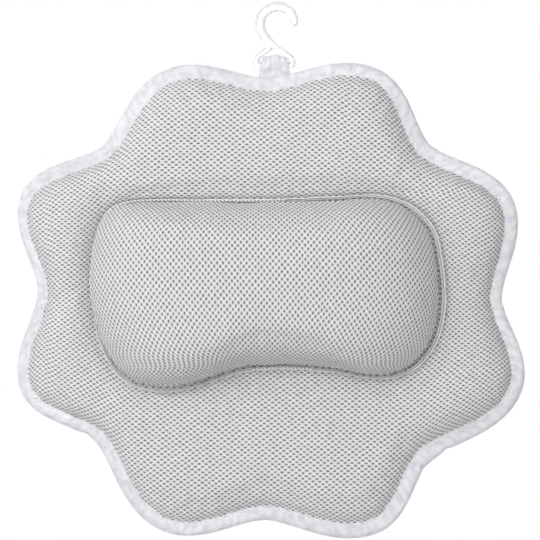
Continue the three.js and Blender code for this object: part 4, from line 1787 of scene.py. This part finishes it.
@dataclass
class HookMoulding:
    """The plastic hook: a flattened crook whose stem runs on into a triangular loop."""

    bore: float = 19.5 * MM
    width: float = 7.5 * MM
    depth: float = 5.5 * MM
    wire: float = 4.4 * MM
    half_width: float = 13.9 * MM
    shift: float = -2.7 * MM
    drop: float = 41.3 * MM
    tip: float = 3.0
    taper: float = 42.0
    tip_width: float = 5.4 * MM
    end: float = 215.0
    voxel: float = 0.42 * MM
    stem_end: float = 0.86
    # Stem, right leg and left leg: share of the loop's half width, share of the way up from the bar
    stem: tuple[tuple[float, float], ...] = ((-0.44, 0.836), (-0.2, 0.69))
    right: tuple[tuple[float, float], ...] = (
        (1, 0), (1, 0.12), (0.92, 0.22), (0.6, 0.365), (0.2, 0.53), (-0.2, 0.69),
    )
    left: tuple[tuple[float, float], ...] = (
        (-1, 0), (-1, 0.12), (-0.92, 0.24), (-0.6, 0.4), (-0.25, 0.56), (-0.2, 0.69),
    )

    def oval(self) -> float:
        """The crook's depth as a share of its width."""
        return self.depth / self.width

    def limb(
        self, start: np.ndarray, end: np.ndarray, widths: tuple[float, float], flat: float
    ) -> bpy.types.Object:
        """A straight length between two points with a ball at its far end.

        Args:
            start: x and z where it starts.
            end: x and z where it ends.
            widths: its width at both.
            flat: its depth as a share of its width.
        Returns:
            The piece.
        """
        run = end - start
        lean = math.atan2(run[0], run[1])
        bpy.ops.mesh.primitive_circle_add(
            vertices=20, radius=widths[0] / 2, fill_type="NGON", location=(start[0], 0, start[1]),
            rotation=(0, lean, 0),
        )
        obj = bpy.context.object
        bpy.ops.object.mode_set(mode="EDIT")
        bpy.ops.mesh.select_all(action="SELECT")
        bpy.ops.mesh.extrude_region_move(TRANSFORM_OT_translate={"value": (run[0], 0, run[1])})
        grow = widths[1] / widths[0]
        bpy.ops.transform.resize(value=(grow, grow, grow), center_override=(end[0], 0, end[1]))
        bpy.ops.mesh.select_all(action="DESELECT")
        bpy.ops.mesh.primitive_uv_sphere_add(
            segments=20, ring_count=12, radius=widths[1] / 2, location=(end[0], 0, end[1])
        )
        bpy.ops.mesh.select_all(action="SELECT")
        bpy.ops.transform.resize(value=(1, flat, 1), center_override=(0, 0, 0))
        bpy.ops.mesh.normals_make_consistent(inside=False)
        bpy.ops.object.mode_set(mode="OBJECT")
        return obj

    def chain(self, line: np.ndarray, widths: Sequence[float], flat: float) -> list[bpy.types.Object]:
        """Limbs from each point of a line to the next.

        Args:
            line: rows of x and z.
            widths: the width at each.
            flat: the depth as a share of the width.
        Returns:
            The pieces.
        """
        spans = zip(line[:-1], line[1:], widths[:-1], widths[1:])
        return [self.limb(start, end, (first, last), flat) for start, end, first, last in spans]

    def crook(self) -> bpy.types.Object:
        """Spins a flat oval about the crook's centre.

        Returns:
            The bent part.
        """
        radius = (self.bore + self.width) / 2
        middle = -self.bore / 2
        angle = math.radians(self.taper)
        start = (radius * math.cos(angle), 0.0, middle + radius * math.sin(angle))
        bpy.ops.mesh.primitive_circle_add(
            vertices=20, radius=self.width / 2, location=start, rotation=(0, -angle, 0), fill_type="NOTHING"
        )
        obj = bpy.context.object
        bpy.ops.object.mode_set(mode="EDIT")
        bpy.ops.mesh.select_all(action="SELECT")
        bpy.ops.transform.resize(value=(1, self.oval(), 1), center_override=start)
        bpy.ops.mesh.spin(
            steps=48, angle=math.radians(self.end - self.taper), center=(0, 0, middle), axis=(0, 1, 0)
        )
        cap_openings()
        bpy.ops.mesh.select_all(action="DESELECT")
        bpy.ops.mesh.primitive_uv_sphere_add(
            segments=20, ring_count=12, radius=self.width / 2, location=start
        )
        bpy.ops.transform.resize(value=(1, self.oval(), 1), center_override=start)
        bpy.ops.mesh.select_all(action="SELECT")
        bpy.ops.mesh.normals_make_consistent(inside=False)
        bpy.ops.object.mode_set(mode="OBJECT")
        return obj

    def build(self) -> None:
        """Joins the crook, the stem, both legs and the bar, and melts them into one moulding."""
        radius = (self.bore + self.width) / 2
        angle = math.radians(self.end)
        arc_end = np.array([radius * math.cos(angle), -self.bore / 2 + radius * math.sin(angle)])
        rise = self.drop + arc_end[1]
        parts = [self.crook()]
        turns = np.radians(np.linspace(self.taper, self.tip, 7))
        girths = np.linspace(self.width, self.tip_width, 7)
        reach = (self.bore + girths) / 2
        line = np.stack([reach * np.cos(turns), -self.bore / 2 + reach * np.sin(turns)], 1)
        parts += self.chain(line, girths, self.oval())

        def spot(share: tuple[float, float]) -> np.ndarray:
            """A loop point from its shares."""
            return np.array([self.shift + share[0] * self.half_width, share[1] * rise - self.drop])

        stem = smooth_path([arc_end, *map(spot, self.stem)], 6)
        parts += self.chain(stem, np.linspace(self.width, self.stem_end * self.width, len(stem)), self.oval())
        legs = [smooth_path([spot(share) for share in shares], 14) for shares in (self.right, self.left)]
        bar = np.array([spot((1, 0)), spot((-1, 0)), spot((1, 0))])
        for wire in (*legs, bar):
            parts += self.chain(wire, [self.wire] * len(wire), 1.0)
        activate(*parts)
        bpy.ops.object.join()
        obj = bpy.context.object
        obj.name = "hook_moulding"
        obj.data.name = "hook_moulding"
        bpy.ops.object.transform_apply(location=True, rotation=True, scale=True)
        apply_modifier(obj, "REMESH", mode="VOXEL", voxel_size=self.voxel)
        apply_modifier(obj, "SMOOTH", factor=0.5, iterations=10)
        smooth(obj)
        HOOK_PLASTIC.dress(obj)
        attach(obj, "hook")
        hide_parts("hook")
        log.info("%s: %d faces", obj.name, len(obj.data.polygons))


@dataclass
class CupSet:
    """Six suction cups behind the mat, each with a mushroom head in a plastic eyelet and its washer."""

    shape: PadShape
    steps: int = 56
    # Profiles of radius and depth behind the edge plane, in millimetres
    cup: tuple[tuple[float, float], ...] = (
        (0.4, -0.2), (3.6, -0.2), (4.6, 0.35), (5.0, 1.1), (4.9, 2.1), (4.5, 2.3), (3.3, 2.35), (3.0, 2.7),
        (3.0, 7.7), (3.3, 8.05), (6.3, 8.1), (6.9, 8.5), (7.0, 10.3), (8.2, 11.6), (11.2, 13.2), (14.6, 15.5),
        (17.7, 18.2), (20.2, 21.2), (21.0, 22.3), (20.95, 22.6), (19.6, 22.55), (18.4, 21.6), (16.6, 20.2),
        (14.3, 18.6), (11.4, 16.8), (8.7, 15.4), (5.0, 14.7), (0.4, 14.5),
    )
    eyelet: tuple[tuple[float, float], ...] = (
        (3.5, 2.6), (5.8, 2.6), (5.8, 3.2), (4.6, 3.2), (4.6, 6.8), (7.6, 6.8), (8.0, 7.0), (7.9, 7.35),
        (7.1, 7.8), (4.1, 7.8), (3.6, 7.5), (3.5, 7.0), (3.5, 2.6),
    )
    washer: tuple[tuple[float, float], ...] = (
        (4.9, 2.2), (7.7, 2.2), (8.0, 2.5), (7.8, 3.1), (5.1, 3.2), (4.9, 3.0), (4.9, 2.2),
    )

    def turned(self, name: str, profile: Sequence[tuple[float, float]]) -> bpy.types.Object:
        """Draws a circle out through a profile.

        Args:
            name: the piece's name.
            profile: its radii and depths in millimetres, closed where it ends as it starts.
        Returns:
            The piece, about the Y axis.
        """
        radius, depth = profile[0]
        bpy.ops.mesh.primitive_circle_add(
            vertices=self.steps, radius=radius * MM, location=(0, depth * MM, 0),
            rotation=(math.pi / 2, 0, 0), fill_type="NOTHING",
        )
        obj = bpy.context.object
        obj.name = name
        bpy.ops.object.transform_apply(location=True, rotation=True, scale=True)
        bpy.ops.object.mode_set(mode="EDIT")
        bpy.ops.mesh.select_all(action="SELECT")
        for next_radius, next_depth in profile[1:]:
            move = (0, (next_depth - depth) * MM, 0)
            bpy.ops.mesh.extrude_edges_move(TRANSFORM_OT_translate={"value": move})
            grow = next_radius / radius
            bpy.ops.transform.resize(value=(grow, 1, grow), center_override=(0, next_depth * MM, 0))
            radius, depth = next_radius, next_depth
        if profile[0] != profile[-1]:
            bpy.ops.mesh.edge_face_add()
            cap_openings()
        bpy.ops.object.mode_set(mode="OBJECT")
        face_out(obj)
        smooth(obj, 48)
        return obj

    def build(self) -> None:
        """Makes one of each and sets copies behind the mat."""
        kinds = (
            ("cup_moulding", self.cup, VINYL, "suction_cup_{}", "cup_{}"),
            ("eyelet_ring", self.eyelet, EYELET_PLASTIC, "eyelet_{}", "pad"),
            ("washer_ring", self.washer, EYELET_PLASTIC, "eyelet_washer_{}", "pad"),
        )
        for name, profile, finish, node, body in kinds:
            first = self.turned(name, profile)
            for n, (x, z) in enumerate(self.shape.cups, 1):
                mesh = first.data.copy()
                obj = linked(f"{name}_{n}", mesh)
                mesh.transform(Matrix.Translation((x, self.shape.edge_plane, z)))
                self.shape.lean.hang(obj)
                finish.dress(obj)
                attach(obj, body.format(n))
                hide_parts(node.format(n))
            bpy.data.objects.remove(first)
            log.info("%s: six", name)


@dataclass
class Studio:
    """A white floor, soft light from the front, left and above, and a camera square to the mat."""

    lean: Lean
    aim: tuple[float, float, float] = (-0.0061, -0.0105, -0.1989)
    seen_width: float = 0.4131
    distance: float = 4.0
    sensor: float = 36.0
    all_round: float = 0.28
    floor_level: float = -1.7
    floor_size: float = 20.0
    floor_lift: float = 0.6
    # Square lamps: name, offset from the mat's middle, side and watts
    lamps: tuple[tuple[str, tuple[float, float, float], float, float], ...] = (
        ("key", (-0.35, -1.5, 0.3), 1.1, 11.9), ("left", (-1.5, -0.8, 0.3), 1.2, 8.8),
        ("top", (-0.2, -0.9, 1.3), 1.6, 5.5), ("fill", (1.4, -1.6, -0.2), 1.0, 5.4),
        ("rear", (0.4, 1.9, 0.9), 1.4, 26),
    )

    def to_world(self, point: Sequence[float]) -> Vector:
        """A point given upright, leaned with the mat."""
        return self.lean.matrix() @ Vector(point)

    def camera(self) -> None:
        """Sets the camera on the mat's own axis."""
        lens = bpy.data.cameras.new("camera")
        lens.sensor_width = self.sensor
        lens.lens = self.sensor * self.distance / self.seen_width
        lens.clip_end = 60
        obj = linked("camera", lens)
        x, y, z = self.aim
        place = Matrix.Translation((x, y - self.distance, z)) @ Matrix.Rotation(math.pi / 2, 4, "X")
        obj.matrix_world = self.lean.matrix() @ place
        bpy.context.scene.camera = obj

    def lamp(self, name: str, offset: tuple[float, float, float], size: float, power: float) -> None:
        """Adds a square lamp that faces the mat's middle and isn't seen itself.

        Args:
            name: its name.
            offset: where it stands from the mat's middle.
            size: its side.
            power: its watts.
        """
        light = bpy.data.lights.new(name, "AREA")
        light.shape = "SQUARE"
        light.size = size
        light.energy = power
        obj = linked(name, light)
        obj.visible_camera = False
        target = self.to_world(self.aim)
        place = self.to_world([a + b for a, b in zip(self.aim, offset)])
        obj.location = place
        obj.rotation_euler = (target - place).to_track_quat("-Z", "Y").to_euler()

    def seen(self, add: Adder) -> bpy.types.Node:
        """1 for rays that come from the camera, a mirror or glass.

        Args:
            add: adds a node to the material or world.
        Returns:
            The node that says so.
        """
        path = add("LightPath").outputs
        either = add("Math", {0: path["Is Camera Ray"], 1: path["Is Glossy Ray"]}, operation="MAXIMUM")
        return add("Math", {0: either, 1: path["Is Transmission Ray"]}, operation="MAXIMUM")

    def world(self) -> None:
        """Soft light from all round, seen as white."""
        world = bpy.data.worlds.new("studio")
        add = emptied(world)
        soft = add("Background", {"Color": (1, 1, 1, 1), "Strength": self.all_round})
        white = add("Background", {"Color": (1, 1, 1, 1), "Strength": 1.0})
        mixed = add("MixShader", {0: self.seen(add), 1: soft, 2: white})
        add("OutputWorld", {"Surface": mixed})
        bpy.context.scene.world = world

    def floor(self) -> None:
        """A white floor well below the pillow, which keeps its shadow."""
        bpy.ops.mesh.primitive_plane_add(size=self.floor_size, location=(0, 0, self.floor_level))
        obj = bpy.context.object
        obj.name = "floor"
        made = bpy.data.materials.new("studio_floor")
        add = emptied(made)
        matt = add("BsdfDiffuse", {"Color": linear("f2f2f2")})
        lift = add("Math", {0: self.seen(add), 1: self.floor_lift}, operation="MULTIPLY")
        glow = add("Emission", {"Color": (1, 1, 1, 1), "Strength": lift})
        both = add("AddShader", {0: matt, 1: glow})
        add("OutputMaterial", {"Surface": both})
        obj.data.materials.append(made)

    def build(self) -> None:
        """Sets up everything round the pillow."""
        self.camera()
        for lamp in self.lamps:
            self.lamp(*lamp)
        self.world()
        self.floor()
        bpy.context.scene.view_settings.view_transform = "Standard"


def main() -> None:
    """Builds the sub-assemblies in order."""
    lean = Lean.from_joints(frame["joints"])
    Studio(lean).build()
    shape = PadShape(lean).read()
    log.info("mat leans %.2f degrees", math.degrees(lean.angle))
    HookMoulding().build()
    HangingTab(shape).build()
    Mat(shape).build()
    EdgeTape(shape).build()
    HeadCushion(shape).build()
    CupSet(shape).build()


if __name__ == "__main__":
    main()
